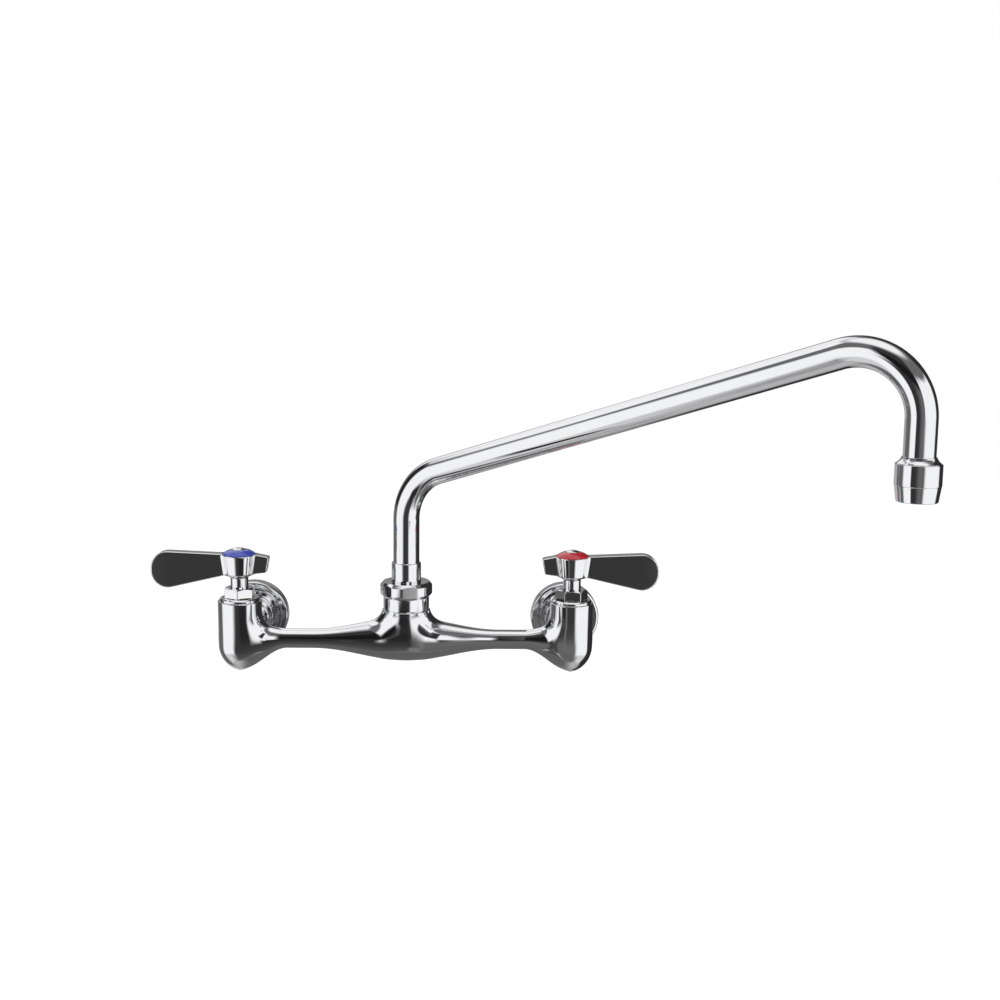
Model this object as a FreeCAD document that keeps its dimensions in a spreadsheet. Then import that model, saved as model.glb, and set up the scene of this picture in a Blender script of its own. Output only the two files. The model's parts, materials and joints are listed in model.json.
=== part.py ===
import FreeCAD, Part
import math
import os
import Sketcher

# Wall-mounted utility faucet: two quarter-turn lever valves and a swinging tube spout
# Lengths are millimetres and angles are degrees
# The origin is on the wall plane, midway between the two inlets
# +X runs towards the hot side, +Y into the wall and +Z up
# A level is a height above the inlet axes, and a drop is a depth below them

jetCount = 8
near = 0.01

driving = {
    # Layout
    "inletSpacing": 203.2,
    "wallToAxis": 63.0,
    "turnFit": 0.06,
    "slideFit": 0.1,
    "edgeBreak": 0.4,
    "cutOverrun": 1.0,
    "chamferSlope": 0.6,
    # Casting outside
    "armDrop": 1.2,
    "hubRadius": 13.4,
    "waistRadius": 6.0,
    "waistReach": 57.0,
    "bossRadius": 14.0,
    "bossDraft": 1.0,
    "bossFlare": 12.0,
    "flareShare": 0.62,
    "bossLevel": 26.0,
    "bandHeight": 7.4,
    "bandGroove": 0.5,
    "bossThreadRadius": 11.4,
    "bossThreadHeight": 4.4,
    "housingRadius": 13.4,
    "housingLevel": 22.6,
    "housingDraft": 0.3,
    "housingEdge": 0.6,
    "ogiveDrop": 5.0,
    "ogiveRadius": 17.0,
    "rootReach": 29.0,
    "rootRise": 6.0,
    "keelDepth": 13.6,
    "keelShare": 0.72,
    "inletBossRadius": 11.5,
    "inletBossReach": 20.0,
    # Casting inside
    "chamberRadius": 9.0,
    "chamberDrop": 5.0,
    "seatPortRadius": 3.2,
    "seatPortDepth": 9.5,
    "passageRadius": 3.4,
    "socketLevel": 5.0,
    "waterwayRadius": 5.0,
    "feedPortRadius": 2.2,
    "feedPortDrop": 6.0,
    "feedPortDepth": 8.6,
    # Wall inlets
    "flangeRadius": 22.2,
    "flangeThickness": 9.5,
    "flangeRounding": 1.6,
    "dishRadius": 18.2,
    "dishDepth": 1.9,
    "inletHubRadius": 13.0,
    "inletHubHeight": 12.5,
    "inletHubEdge": 0.6,
    "neckRadius": 9.8,
    "supplyRadius": 10.4,
    "supplyDepth": 10.5,
    "inletBoreRadius": 5.6,
    "inletThreadRadius": 7.9,
    "inletThreadLength": 8.5,
    "gasketThickness": 1.0,
    # Valve cartridges
    "ringRadius": 12.15,
    "ringThickness": 2.0,
    "ringEdge": 0.8,
    "bonnetAcross": 17.0,
    "bonnetHexHeight": 6.2,
    "bonnetChamfer": 0.6,
    "barrelRadius": 8.9,
    "skirtRadius": 7.9,
    "skirtWall": 1.15,
    "skirtLevel": 10.0,
    "barrelLead": 1.0,
    "windowHeight": 4.0,
    "windowWidth": 5.0,
    "noseRadius": 5.4,
    "noseLevel": 36.6,
    "barrelSealLevel": 16.0,
    "barrelSealSection": 1.8,
    "seatSealThickness": 2.0,
    "discRadius": 6.6,
    "discThickness": 3.2,
    "discPortRadius": 1.7,
    "discPortPitch": 3.6,
    "stemRadius": 4.0,
    "stemFlangeThickness": 2.4,
    "keyDepth": 1.0,
    "stemSealLevel": 20.0,
    "stemSealPitch": 5.0,
    "stemSealSection": 1.4,
    "splineRadius": 3.4,
    "stemLevel": 46.0,
    "stemProud": 0.3,
    "tapSpare": 1.0,
    # Lever handles
    "handleLevel": 51.0,
    "handleTopRadius": 10.2,
    "handleWaistLevel": 39.0,
    "handleWaistRadius": 8.7,
    "handleFootLevel": 37.2,
    "handleFootRadius": 5.9,
    "bladeReach": 53.0,
    "bladeThickness": 8.0,
    "bladeTopLevel": 53.5,
    "bladeDepth": 25.4,
    "bladeRootLevel": 51.6,
    "bladeRootReach": 9.0,
    "bladeRootDepth": 13.2,
    "bladeWaistDrop": 1.0,
    "bladeEndRounding": 10.2,
    "bladeEdgeRounding": 2.2,
    "stubReach": 18.5,
    "stubLevel": 49.8,
    "stubDepth": 9.4,
    "stubLean": 1.6,
    "stubRounding": 1.2,
    # Index caps and handle screws
    "indexRadius": 10.1,
    "indexRise": 3.1,
    "indexCrownRadius": 4.9,
    "indexDomeRadius": 10.0,
    "indexRim": 0.4,
    "spigotRadius": 8.0,
    "spigotDepth": 1.2,
    "screwShankRadius": 1.9,
    "screwLength": 13.0,
    "screwHeadRadius": 4.4,
    "screwHeadHeight": 1.3,
    "screwSlotWidth": 1.1,
    "screwSlotLength": 4.8,
    "screwSlotDepth": 0.7,
    # Spout
    "spoutSwing": 32.4,
    "spoutReach": 304.8,
    "spoutSlope": 17.9,
    "slopeLevel": 97.5,
    "tubeRadius": 8.0,
    "tubeWall": 1.2,
    "lowerBend": 33.0,
    "upperBend": 32.0,
    "tubeFootLevel": 24.0,
    "tubeMouthLevel": 125.0,
    "sleeveRadius": 9.0,
    "sleeveFootLevel": 6.0,
    "sleeveLevel": 47.0,
    "sleeveBoreRadius": 6.6,
    "sealLevel": 10.0,
    "sealPitch": 6.0,
    "sealSection": 1.5,
    "keeperRadius": 10.9,
    "keeperThickness": 1.4,
    "keeperGroove": 0.9,
    "nutAcross": 30.2,
    "nutLevel": 35.3,
    "nutLip": 2.5,
    "nutCornerRadius": 15.9,
    "nutTurn": 41.0,
    "nutChamfer": 0.4,
    # Outlet
    "nippleLevel": 133.8,
    "nippleFlareRadius": 11.0,
    "nippleFlareLevel": 130.6,
    "nippleFlareCurve": 6.0,
    "nippleSeat": 0.9,
    "nippleThreadRadius": 10.2,
    "nippleFootLevel": 122.0,
    "shellRadius": 11.5,
    "shellLevel": 130.4,
    "shellStepLevel": 119.6,
    "shellMouthRadius": 10.2,
    "shellMouthLevel": 111.6,
    "shellLip": 1.0,
    "shellDraft": 0.15,
    "shellMouthBore": 8.2,
    "insertRadius": 9.2,
    "insertBoreRadius": 7.2,
    "insertFloor": 1.2,
    "screenThickness": 0.5,
    "washerThickness": 2.0,
    "jetRadius": 0.8,
    "jetPitch": 5.0,
}

doc = FreeCAD.newDocument("utility_faucet")
sheet = doc.addObject("Spreadsheet::Sheet", "sizes")


class Size:
    # A length with its present amount and the sheet expression that it comes from
    def __init__(self, amount, text):
        self.amount = float(amount)
        self.text = text

    def __add__(self, other):
        other = asSize(other)
        return Size(self.amount + other.amount, f"({self.text} + {other.text})")

    def __sub__(self, other):
        other = asSize(other)
        return Size(self.amount - other.amount, f"({self.text} - {other.text})")

    def __mul__(self, other):
        other = asSize(other)
        return Size(self.amount * other.amount, f"({self.text} * {other.text})")

    def __truediv__(self, other):
        other = asSize(other)
        return Size(self.amount / other.amount, f"({self.text} / {other.text})")

    def __neg__(self):
        return Size(-self.amount, f"(0 - {self.text})")

    __radd__ = __add__
    __rmul__ = __mul__


def asSize(thing):
    if isinstance(thing, Size):
        return thing
    return Size(thing, f"{thing}")


def arctangent(ratio):
    return Size(math.degrees(math.atan(ratio.amount)), f"atan({ratio.text})")


def root(square):
    return Size(math.sqrt(square.amount), f"sqrt({square.text})")


class Names:
    pass


s = Names()
for row, (name, amount) in enumerate(driving.items(), start=1):
    sheet.set(f"A{row}", name)
    sheet.set(f"B{row}", str(amount))
    sheet.setAlias(f"B{row}", name)
    setattr(s, name, Size(amount, f"sizes.{name}"))
doc.recompute()

zero = asSize(0)
parts = []


def bind(item, path, size):
    item.setExpression(path, asSize(size).text)


def newBody(label):
    body = doc.addObject("PartDesign::Body", label)
    body.Label = label
    parts.append(body)
    return body


def place(item, base, axis=(0, 0, 1), angle=0):
    turn = FreeCAD.Rotation(FreeCAD.Vector(*axis), asSize(angle).amount)
    spot = FreeCAD.Vector(*[asSize(size).amount for size in base])
    item.Placement = FreeCAD.Placement(spot, turn)
    for letter, size in zip("xyz", base):
        bind(item, f"Placement.Base.{letter}", size)


def originPlane(body, role):
    for feature in body.Origin.OriginFeatures:
        if feature.Role == role:
            return feature
    raise ValueError(role)


def newSketch(body, name, role="XZ_Plane", offset=None):
    sketch = body.newObject("Sketcher::SketchObject", f"{body.Name}_{name}")
    sketch.AttachmentSupport = [(originPlane(body, role), "")]
    sketch.MapMode = "FlatFace"
    for letter, size in zip("xyz", offset or ()):
        bind(sketch, f"AttachmentOffset.Base.{letter}", size)
    return sketch


def pin(sketch, curve, end, right, up):
    # Holds one end of a curve at its distances from the sketch's own axes
    for kind, axis, size in (("DistanceX", -2, right), ("DistanceY", -1, up)):
        size = asSize(size)
        if size.amount == 0:
            sketch.addConstraint(Sketcher.Constraint("PointOnObject", curve, end, axis))
        else:
            index = sketch.addConstraint(Sketcher.Constraint(kind, -1, 1, curve, end, size.amount))
            bind(sketch, f"Constraints[{index}]", size)


def arcBetween(first, last, radius, side):
    # The shorter arc from first to last, which bulges to the left of travel when side is 1
    chord = last - first
    across = FreeCAD.Vector(-chord.y, chord.x, 0).normalize()
    rise = math.sqrt(radius ** 2 - (chord.Length / 2) ** 2)
    centre = (first + last) / 2 - across * (side * rise)
    start, finish = (last, first) if side == 1 else (first, last)
    fromCentre = start - centre
    toCentre = finish - centre
    startAngle = math.atan2(fromCentre.y, fromCentre.x)
    finishAngle = math.atan2(toCentre.y, toCentre.x)
    if finishAngle < startAngle:
        finishAngle += 2 * math.pi
    circle = Part.Circle(centre, FreeCAD.Vector(0, 0, 1), radius)
    return Part.ArcOfCircle(circle, startAngle, finishAngle)


def outline(sketch, corners):
    # A closed outline: each corner is (right, up), or (right, up, radius, side) where an arc follows
    spots = [FreeCAD.Vector(asSize(item[0]).amount, asSize(item[1]).amount, 0) for item in corners]
    ends = []
    for index, corner in enumerate(corners):
        first = spots[index]
        last = spots[(index + 1) % len(spots)]
        if len(corner) == 2:
            sketch.addGeometry(Part.LineSegment(first, last), False)
            ends.append((1, 2))
        else:
            radius = asSize(corner[2])
            sketch.addGeometry(arcBetween(first, last, radius.amount, corner[3]), False)
            ends.append((2, 1) if corner[3] == 1 else (1, 2))
            index = sketch.addConstraint(Sketcher.Constraint("Radius", index, radius.amount))
            bind(sketch, f"Constraints[{index}]", radius)
    for index in range(len(corners)):
        after = (index + 1) % len(corners)
        sketch.addConstraint(Sketcher.Constraint("Coincident", index, ends[index][1], after, ends[after][0]))
    for index, corner in enumerate(corners):
        pin(sketch, index, ends[index][0], corner[0], corner[1])


def revolve(body, name, corners, offset=None, cut=False):
    # Turns an outline about the sketch's upright axis
    sketch = newSketch(body, f"{name}_outline", offset=offset)
    outline(sketch, corners)
    kind = "PartDesign::Groove" if cut else "PartDesign::Revolution"
    feature = body.newObject(kind, f"{body.Name}_{name}")
    feature.Profile = sketch
    feature.ReferenceAxis = (sketch, ["V_Axis"])
    feature.Angle = 360
    return feature


def circleIn(sketch, radius, right=zero, up=zero):
    spot = FreeCAD.Vector(asSize(right).amount, asSize(up).amount, 0)
    curve = sketch.addGeometry(Part.Circle(spot, FreeCAD.Vector(0, 0, 1), radius.amount), False)
    index = sketch.addConstraint(Sketcher.Constraint("Radius", curve, radius.amount))
    bind(sketch, f"Constraints[{index}]", radius)
    pin(sketch, curve, 3, right, up)


def hexagonIn(sketch, across):
    # A hexagon about the sketch origin with a flat towards each side
    corner = across / math.sqrt(3)
    corners = []
    for step in range(6):
        angle = math.radians(60 * step + 30)
        corners.append((corner * round(math.cos(angle), 9), corner * round(math.sin(angle), 9)))
    outline(sketch, corners)


def pad(body, name, sketch, length, cut=False, back=False, midplane=False):
    feature = body.newObject("PartDesign::Pocket" if cut else "PartDesign::Pad", f"{body.Name}_{name}")
    feature.Profile = sketch
    bind(feature, "Length", length)
    feature.Reversed = back
    feature.Midplane = midplane
    return feature


def dress(body, kind, name, base, size, wanted):
    # Fillets or chamfers the edges of the base feature that the test accepts
    doc.recompute()
    edges = [f"Edge{index}" for index, edge in enumerate(base.Shape.Edges, start=1) if wanted(edge)]
    if not edges:
        raise ValueError(f"{body.Name} {name} finds no edge")
    feature = body.newObject(f"PartDesign::{kind}", f"{body.Name}_{name}")
    feature.Base = (base, edges)
    bind(feature, "Radius" if kind == "Fillet" else "Size", size)
    body.Tip = feature
    return feature


def circleAt(level, radius):
    def wanted(edge):
        curve = edge.Curve
        if not isinstance(curve, Part.Circle):
            return False
        return abs(curve.Center.z - level.amount) < near and abs(curve.Radius - radius.amount) < near
    return wanted


# Levels and places that several pieces share
axisReach = s.inletSpacing / 2
chamberFloor = -s.chamberDrop
ringLevel = s.housingLevel + s.ringThickness
hexLevel = ringLevel + s.bonnetHexHeight
fixedDiscFoot = chamberFloor + s.seatSealThickness
movingDiscFoot = fixedDiscFoot + s.discThickness
stemFoot = movingDiscFoot + s.discThickness
stemShoulder = stemFoot + s.stemFlangeThickness
stemBore = s.stemRadius + s.turnFit
skirtBore = s.skirtRadius - s.skirtWall
crownLevel = s.handleLevel + s.indexRise
socketRadius = s.sleeveRadius + s.turnFit
keeperFoot = s.bossLevel + s.bossThreadHeight + s.slideFit
keeperLevel = keeperFoot + s.keeperThickness
tubeBore = s.tubeRadius - s.tubeWall
sleeveSeat = s.tubeRadius + s.turnFit


def armSections():
    # The arm's outside from the centre to one valve: a spindle that narrows to the waist in a
    # cosine, flares up into the centre boss in a round, and sweeps down into the valve's keel
    sections = []
    reach = axisReach.amount
    stations = [0, 0.1, 0.18, 0.25, 0.3, 0.36, 0.46, 0.58, 0.72, 0.86, 1]
    for share in stations:
        swell = round((1 + math.cos(math.pi * share)) / 2, 6)
        radius = s.waistRadius + (s.hubRadius - s.waistRadius) * swell
        across = s.waistReach * share
        gap = across.amount - s.bossRadius.amount
        top = radius - s.armDrop
        if gap <= 0:
            top = top + s.bossFlare * s.flareShare
        elif gap < s.bossFlare.amount:
            left = s.bossFlare - (across - s.bossRadius)
            top = top + (s.bossFlare - root(s.bossFlare * s.bossFlare - left * left)) * s.flareShare
        sections.append((across, radius, top, -(radius + s.armDrop)))
    for share in (0.25, 0.5, 0.62, 0.74, 0.87):
        across = s.waistReach + (axisReach - s.waistReach) * share
        fromAxis = reach - across.amount
        sweep = round((1 + math.cos(math.pi * min(1, fromAxis / s.rootReach.amount))) / 2, 6)
        radius = s.waistRadius + (s.housingRadius * s.keelShare - s.waistRadius) * sweep
        top = s.waistRadius - s.armDrop + s.rootRise * sweep
        bottom = -(s.waistRadius + s.armDrop + s.keelDepth * sweep)
        sections.append((across, radius, top, bottom))
    return sections


def makeArms():
    # Upright ellipses along the arms, lofted from valve to valve
    sections = armSections()
    mirrored = [(-across, radius, top, bottom) for across, radius, top, bottom in sections[:0:-1]]
    rings = []
    for index, (across, radius, top, bottom) in enumerate(mirrored + sections, start=1):
        ring = doc.addObject("Part::Ellipse", f"arm_section_{index}")
        bind(ring, "MajorRadius", (top - bottom) / 2)
        bind(ring, "MinorRadius", radius - near)
        ring.Placement.Rotation = FreeCAD.Rotation(FreeCAD.Vector(0, 1, 0), 90)
        bind(ring, "Placement.Base.x", across)
        bind(ring, "Placement.Base.z", (top + bottom) / 2)
        rings.append(ring)
    arms = doc.addObject("Part::Loft", "casting_arms")
    arms.Sections = rings
    arms.Solid = True
    arms.Ruled = False
    doc.recompute()
    return arms


def makeCasting():
    body = newBody("mixing_body")
    body.BaseFeature = makeArms()
    bandFoot = s.bossLevel - s.bandHeight
    revolve(body, "boss", [
        (zero, -s.armDrop),
        (s.bossRadius - s.bossDraft, -s.armDrop),
        (s.bossRadius, bandFoot - s.bandGroove * 2),
        (s.bossRadius - s.bandGroove, bandFoot - s.bandGroove),
        (s.bossRadius, bandFoot),
        (s.bossRadius, s.bossLevel),
        (s.bossThreadRadius, s.bossLevel),
        (s.bossThreadRadius, s.bossLevel + s.bossThreadHeight),
        (zero, s.bossLevel + s.bossThreadHeight),
    ])
    footRadius = s.housingRadius - s.housingDraft
    ogiveCentre = s.ogiveRadius - footRadius
    tip = -(s.ogiveDrop + root(s.ogiveRadius * s.ogiveRadius - ogiveCentre * ogiveCentre))
    for side, across in (("left", -axisReach), ("right", axisReach)):
        revolve(body, f"{side}_housing", [
            (zero, tip, s.ogiveRadius, -1),
            (footRadius, -s.ogiveDrop),
            (s.housingRadius, s.housingLevel - s.housingEdge),
            (s.housingRadius - s.housingEdge, s.housingLevel),
            (zero, s.housingLevel),
        ], offset=(across, zero, zero))
        bossSketch = newSketch(body, f"{side}_inlet_boss_outline", offset=(across, zero, zero))
        circleIn(bossSketch, s.inletBossRadius)
        pad(body, f"{side}_inlet_boss", bossSketch, s.inletBossReach, back=True)
    revolve(body, "socket", [
        (zero, -s.armDrop),
        (s.waterwayRadius, -s.armDrop),
        (s.waterwayRadius, s.socketLevel),
        (socketRadius, s.socketLevel),
        (socketRadius, s.bossLevel + s.bossThreadHeight + s.cutOverrun),
        (zero, s.bossLevel + s.bossThreadHeight + s.cutOverrun),
    ], cut=True)
    passage = newSketch(body, "passage_outline", role="YZ_Plane")
    circleIn(passage, s.passageRadius, zero, -s.armDrop)
    pad(body, "passage", passage, s.inletSpacing, cut=True, midplane=True)
    for side, across in (("left", -axisReach), ("right", axisReach)):
        revolve(body, f"{side}_chamber", [
            (zero, chamberFloor - s.seatPortDepth),
            (s.seatPortRadius, chamberFloor - s.seatPortDepth),
            (s.seatPortRadius, chamberFloor),
            (s.chamberRadius, chamberFloor),
            (s.chamberRadius, s.housingLevel + s.cutOverrun),
            (zero, s.housingLevel + s.cutOverrun),
        ], offset=(across, zero, zero), cut=True)
        threadSketch = newSketch(body, f"{side}_inlet_thread_outline",
                                 offset=(across, zero, -s.inletBossReach))
        circleIn(threadSketch, s.inletThreadRadius + s.slideFit)
        pad(body, f"{side}_inlet_thread", threadSketch, s.inletThreadLength + s.edgeBreak, cut=True,
            back=True)
        feed = body.newObject("PartDesign::SubtractiveCylinder", f"{body.Name}_{side}_feed_port")
        rise = s.feedPortDepth - chamberFloor - s.feedPortDrop
        run = s.inletBossReach - s.inletThreadLength + s.cutOverrun
        lean = arctangent(run / rise)
        bind(feed, "Radius", s.feedPortRadius)
        bind(feed, "Height", root(run * run + rise * rise))
        feed.Placement.Rotation = FreeCAD.Rotation(FreeCAD.Vector(-1, 0, 0), lean.amount)
        bind(feed, "Placement.Rotation.Angle", lean)
        bind(feed, "Placement.Base.x", across)
        bind(feed, "Placement.Base.z", chamberFloor - s.feedPortDepth)
    place(body, (zero, -s.wallToAxis, zero))


def makeInlet(side, across):
    # A turned neck with the supply thread at the back, and the flange that fits round its hub
    shoulder = s.wallToAxis - s.inletBossReach - s.gasketThickness
    body = newBody(f"{side}_wall_inlet")
    revolve(body, "turning", [
        (s.supplyRadius, zero),
        (s.inletHubRadius, zero),
        (s.inletHubRadius, s.inletHubHeight - s.inletHubEdge),
        (s.inletHubRadius - s.inletHubEdge, s.inletHubHeight),
        (s.neckRadius, s.inletHubHeight),
        (s.neckRadius, shoulder),
        (s.inletThreadRadius, shoulder),
        (s.inletThreadRadius, shoulder + s.gasketThickness + s.inletThreadLength),
        (s.inletBoreRadius, shoulder + s.gasketThickness + s.inletThreadLength),
        (s.inletBoreRadius, s.supplyDepth),
        (s.supplyRadius, s.supplyDepth),
    ])
    place(body, (across, zero, zero), axis=(1, 0, 0), angle=90)

    flange = newBody(f"{side}_wall_flange")
    dishFloor = s.flangeThickness - s.dishDepth
    base = revolve(flange, "turning", [
        (s.inletHubRadius + s.slideFit, zero),
        (s.flangeRadius, zero),
        (s.flangeRadius, s.flangeThickness),
        (s.dishRadius, s.flangeThickness),
        (s.dishRadius - s.dishDepth, dishFloor),
        (s.inletHubRadius + s.slideFit, dishFloor),
    ])
    dress(flange, "Fillet", "rim", base, s.flangeRounding, circleAt(s.flangeThickness, s.flangeRadius))
    place(flange, (across, zero, zero), axis=(1, 0, 0), angle=90)

    gasket = newBody(f"{side}_inlet_gasket")
    revolve(gasket, "ring", [
        (s.inletThreadRadius + s.slideFit, shoulder),
        (s.neckRadius, shoulder),
        (s.neckRadius, shoulder + s.gasketThickness),
        (s.inletThreadRadius + s.slideFit, shoulder + s.gasketThickness),
    ])
    place(gasket, (across, zero, zero), axis=(1, 0, 0), angle=90)


def ringPiece(label, innerRadius, outerRadius, foot, thickness, spot, angle=0):
    # A flat washer
    body = newBody(label)
    feature = revolve(body, "ring", [
        (innerRadius, foot),
        (outerRadius, foot),
        (outerRadius, foot + thickness),
        (innerRadius, foot + thickness),
    ])
    place(body, spot, angle=angle)
    return body, feature


def sealRings(label, section, ringRadius, levels):
    # Square-section rubber rings on one upright axis
    rings = []
    for index, level in enumerate(levels, start=1):
        discs = []
        for name, radius in (("outside", ringRadius + section / 2), ("inside", ringRadius - section / 2)):
            disc = doc.addObject("Part::Cylinder", f"{label}_{name}_{index}")
            bind(disc, "Radius", radius)
            bind(disc, "Height", section)
            bind(disc, "Placement.Base.z", level - section / 2)
            discs.append(disc)
        ring = doc.addObject("Part::Cut", f"{label}_{index}")
        ring.Base, ring.Tool = discs
        rings.append(ring)
    group = doc.addObject("Part::Compound", label)
    group.Label = label
    group.Links = rings
    parts.append(group)
    return group


def makeCartridge(side, spot, hexTurn):
    ringPiece(f"{side}_seat_seal", s.seatPortRadius, s.discRadius, chamberFloor, s.seatSealThickness, spot)

    fixedDisc, base = ringPiece(f"{side}_fixed_disc", s.discPortRadius / 2, s.discRadius, fixedDiscFoot,
                                s.discThickness, spot)
    cutDiscPorts(fixedDisc, fixedDiscFoot)

    ring, base = ringPiece(f"{side}_bonnet_ring", s.barrelRadius + s.slideFit, s.ringRadius,
                           s.housingLevel, s.ringThickness, spot)
    dress(ring, "Chamfer", "edge", base, s.ringEdge, circleAt(ringLevel, s.ringRadius))

    bonnet = newBody(f"{side}_bonnet")
    grooveFoot = s.barrelSealLevel - s.barrelSealSection / 2 - s.slideFit
    grooveTop = s.barrelSealLevel + s.barrelSealSection / 2 + s.slideFit
    grooveRadius = s.barrelRadius - s.barrelSealSection
    revolve(bonnet, "turning", [
        (skirtBore, fixedDiscFoot),
        (s.skirtRadius, fixedDiscFoot),
        (s.skirtRadius, s.skirtLevel),
        (s.barrelRadius, s.skirtLevel + s.barrelLead),
        (s.barrelRadius, grooveFoot),
        (grooveRadius, grooveFoot),
        (grooveRadius, grooveTop),
        (s.barrelRadius, grooveTop),
        (s.barrelRadius, ringLevel),
        (s.noseRadius, ringLevel),
        (s.noseRadius, s.noseLevel - s.edgeBreak),
        (s.noseRadius - s.edgeBreak, s.noseLevel),
        (stemBore, s.noseLevel),
        (stemBore, stemShoulder + s.slideFit),
        (skirtBore, stemShoulder + s.slideFit),
    ])
    hexSketch = newSketch(bonnet, "hex_outline", role="XY_Plane", offset=(zero, zero, ringLevel))
    hexagonIn(hexSketch, s.bonnetAcross)
    circleIn(hexSketch, s.noseRadius - s.edgeBreak)
    pad(bonnet, "hex", hexSketch, s.bonnetHexHeight)
    beyond = s.bonnetAcross / math.sqrt(3) + s.cutOverrun
    chamferStart = s.bonnetAcross / 2 - s.bonnetChamfer
    revolve(bonnet, "hex_chamfer", [
        (beyond, hexLevel + s.cutOverrun),
        (chamferStart, hexLevel + s.cutOverrun),
        (chamferStart, hexLevel),
        (beyond, hexLevel - (beyond - chamferStart) * s.chamferSlope),
    ], cut=True)
    window = newSketch(bonnet, "window_outline")
    windowTop = stemFoot + s.stemFlangeThickness / 2
    outline(window, [
        (-(s.windowWidth / 2), windowTop - s.windowHeight),
        (s.windowWidth / 2, windowTop - s.windowHeight),
        (s.windowWidth / 2, windowTop),
        (-(s.windowWidth / 2), windowTop),
    ])
    pad(bonnet, "windows", window, (s.skirtRadius + s.cutOverrun) * 2, cut=True, midplane=True)
    place(bonnet, spot, angle=hexTurn)

    seal = sealRings(f"{side}_bonnet_seal", s.barrelSealSection - s.slideFit,
                     s.barrelRadius - s.barrelSealSection / 2, [s.barrelSealLevel])
    place(seal, spot)


def cutDiscPorts(body, foot):
    # Two round ports, one each side of the axis
    for name, sign in (("near_port", -1), ("far_port", 1)):
        sketch = newSketch(body, f"{name}_outline", role="XY_Plane", offset=(zero, zero, foot))
        circleIn(sketch, s.discPortRadius, s.discPortPitch * sign, zero)
        pad(body, name, sketch, s.discThickness, cut=True, back=True)


def makeHandle(side, spot, turn):
    movingDisc, base = ringPiece(f"{side}_moving_disc", s.discPortRadius / 2, s.discRadius, movingDiscFoot,
                                 s.discThickness - s.keyDepth, spot, angle=turn)
    cutDiscPorts(movingDisc, movingDiscFoot)

    stem = newBody(f"{side}_stem")
    grooves = []
    for step in range(2):
        level = s.stemSealLevel + s.stemSealPitch * step
        half = s.stemSealSection / 2 + s.slideFit
        grooves += [
            (s.stemRadius, level - half),
            (s.stemRadius - s.stemSealSection, level - half),
            (s.stemRadius - s.stemSealSection, level + half),
            (s.stemRadius, level + half),
        ]
    tapFloor = crownLevel - s.screwLength - s.tapSpare
    revolve(stem, "turning", [
        (zero, stemFoot - s.keyDepth),
        (s.discRadius, stemFoot - s.keyDepth),
        (s.discRadius, stemShoulder),
        (s.stemRadius, stemShoulder),
    ] + grooves + [
        (s.stemRadius, s.noseLevel + s.stemProud),
        (s.splineRadius, s.noseLevel + s.stemProud),
        (s.splineRadius, s.stemLevel),
        (s.screwShankRadius + s.slideFit, s.stemLevel),
        (s.screwShankRadius + s.slideFit, tapFloor),
        (zero, tapFloor),
    ])
    place(stem, spot, angle=turn)

    seals = sealRings(f"{side}_stem_seals", s.stemSealSection - s.slideFit,
                      s.stemRadius - s.stemSealSection / 2,
                      [s.stemSealLevel, s.stemSealLevel + s.stemSealPitch])
    place(seals, spot)

    makeLever(f"{side}_lever", spot, turn)
    makeIndexCap(f"{side}_index_cap", spot, turn)
    makeHandleScrew(f"{side}_handle_screw", spot, turn)


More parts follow.
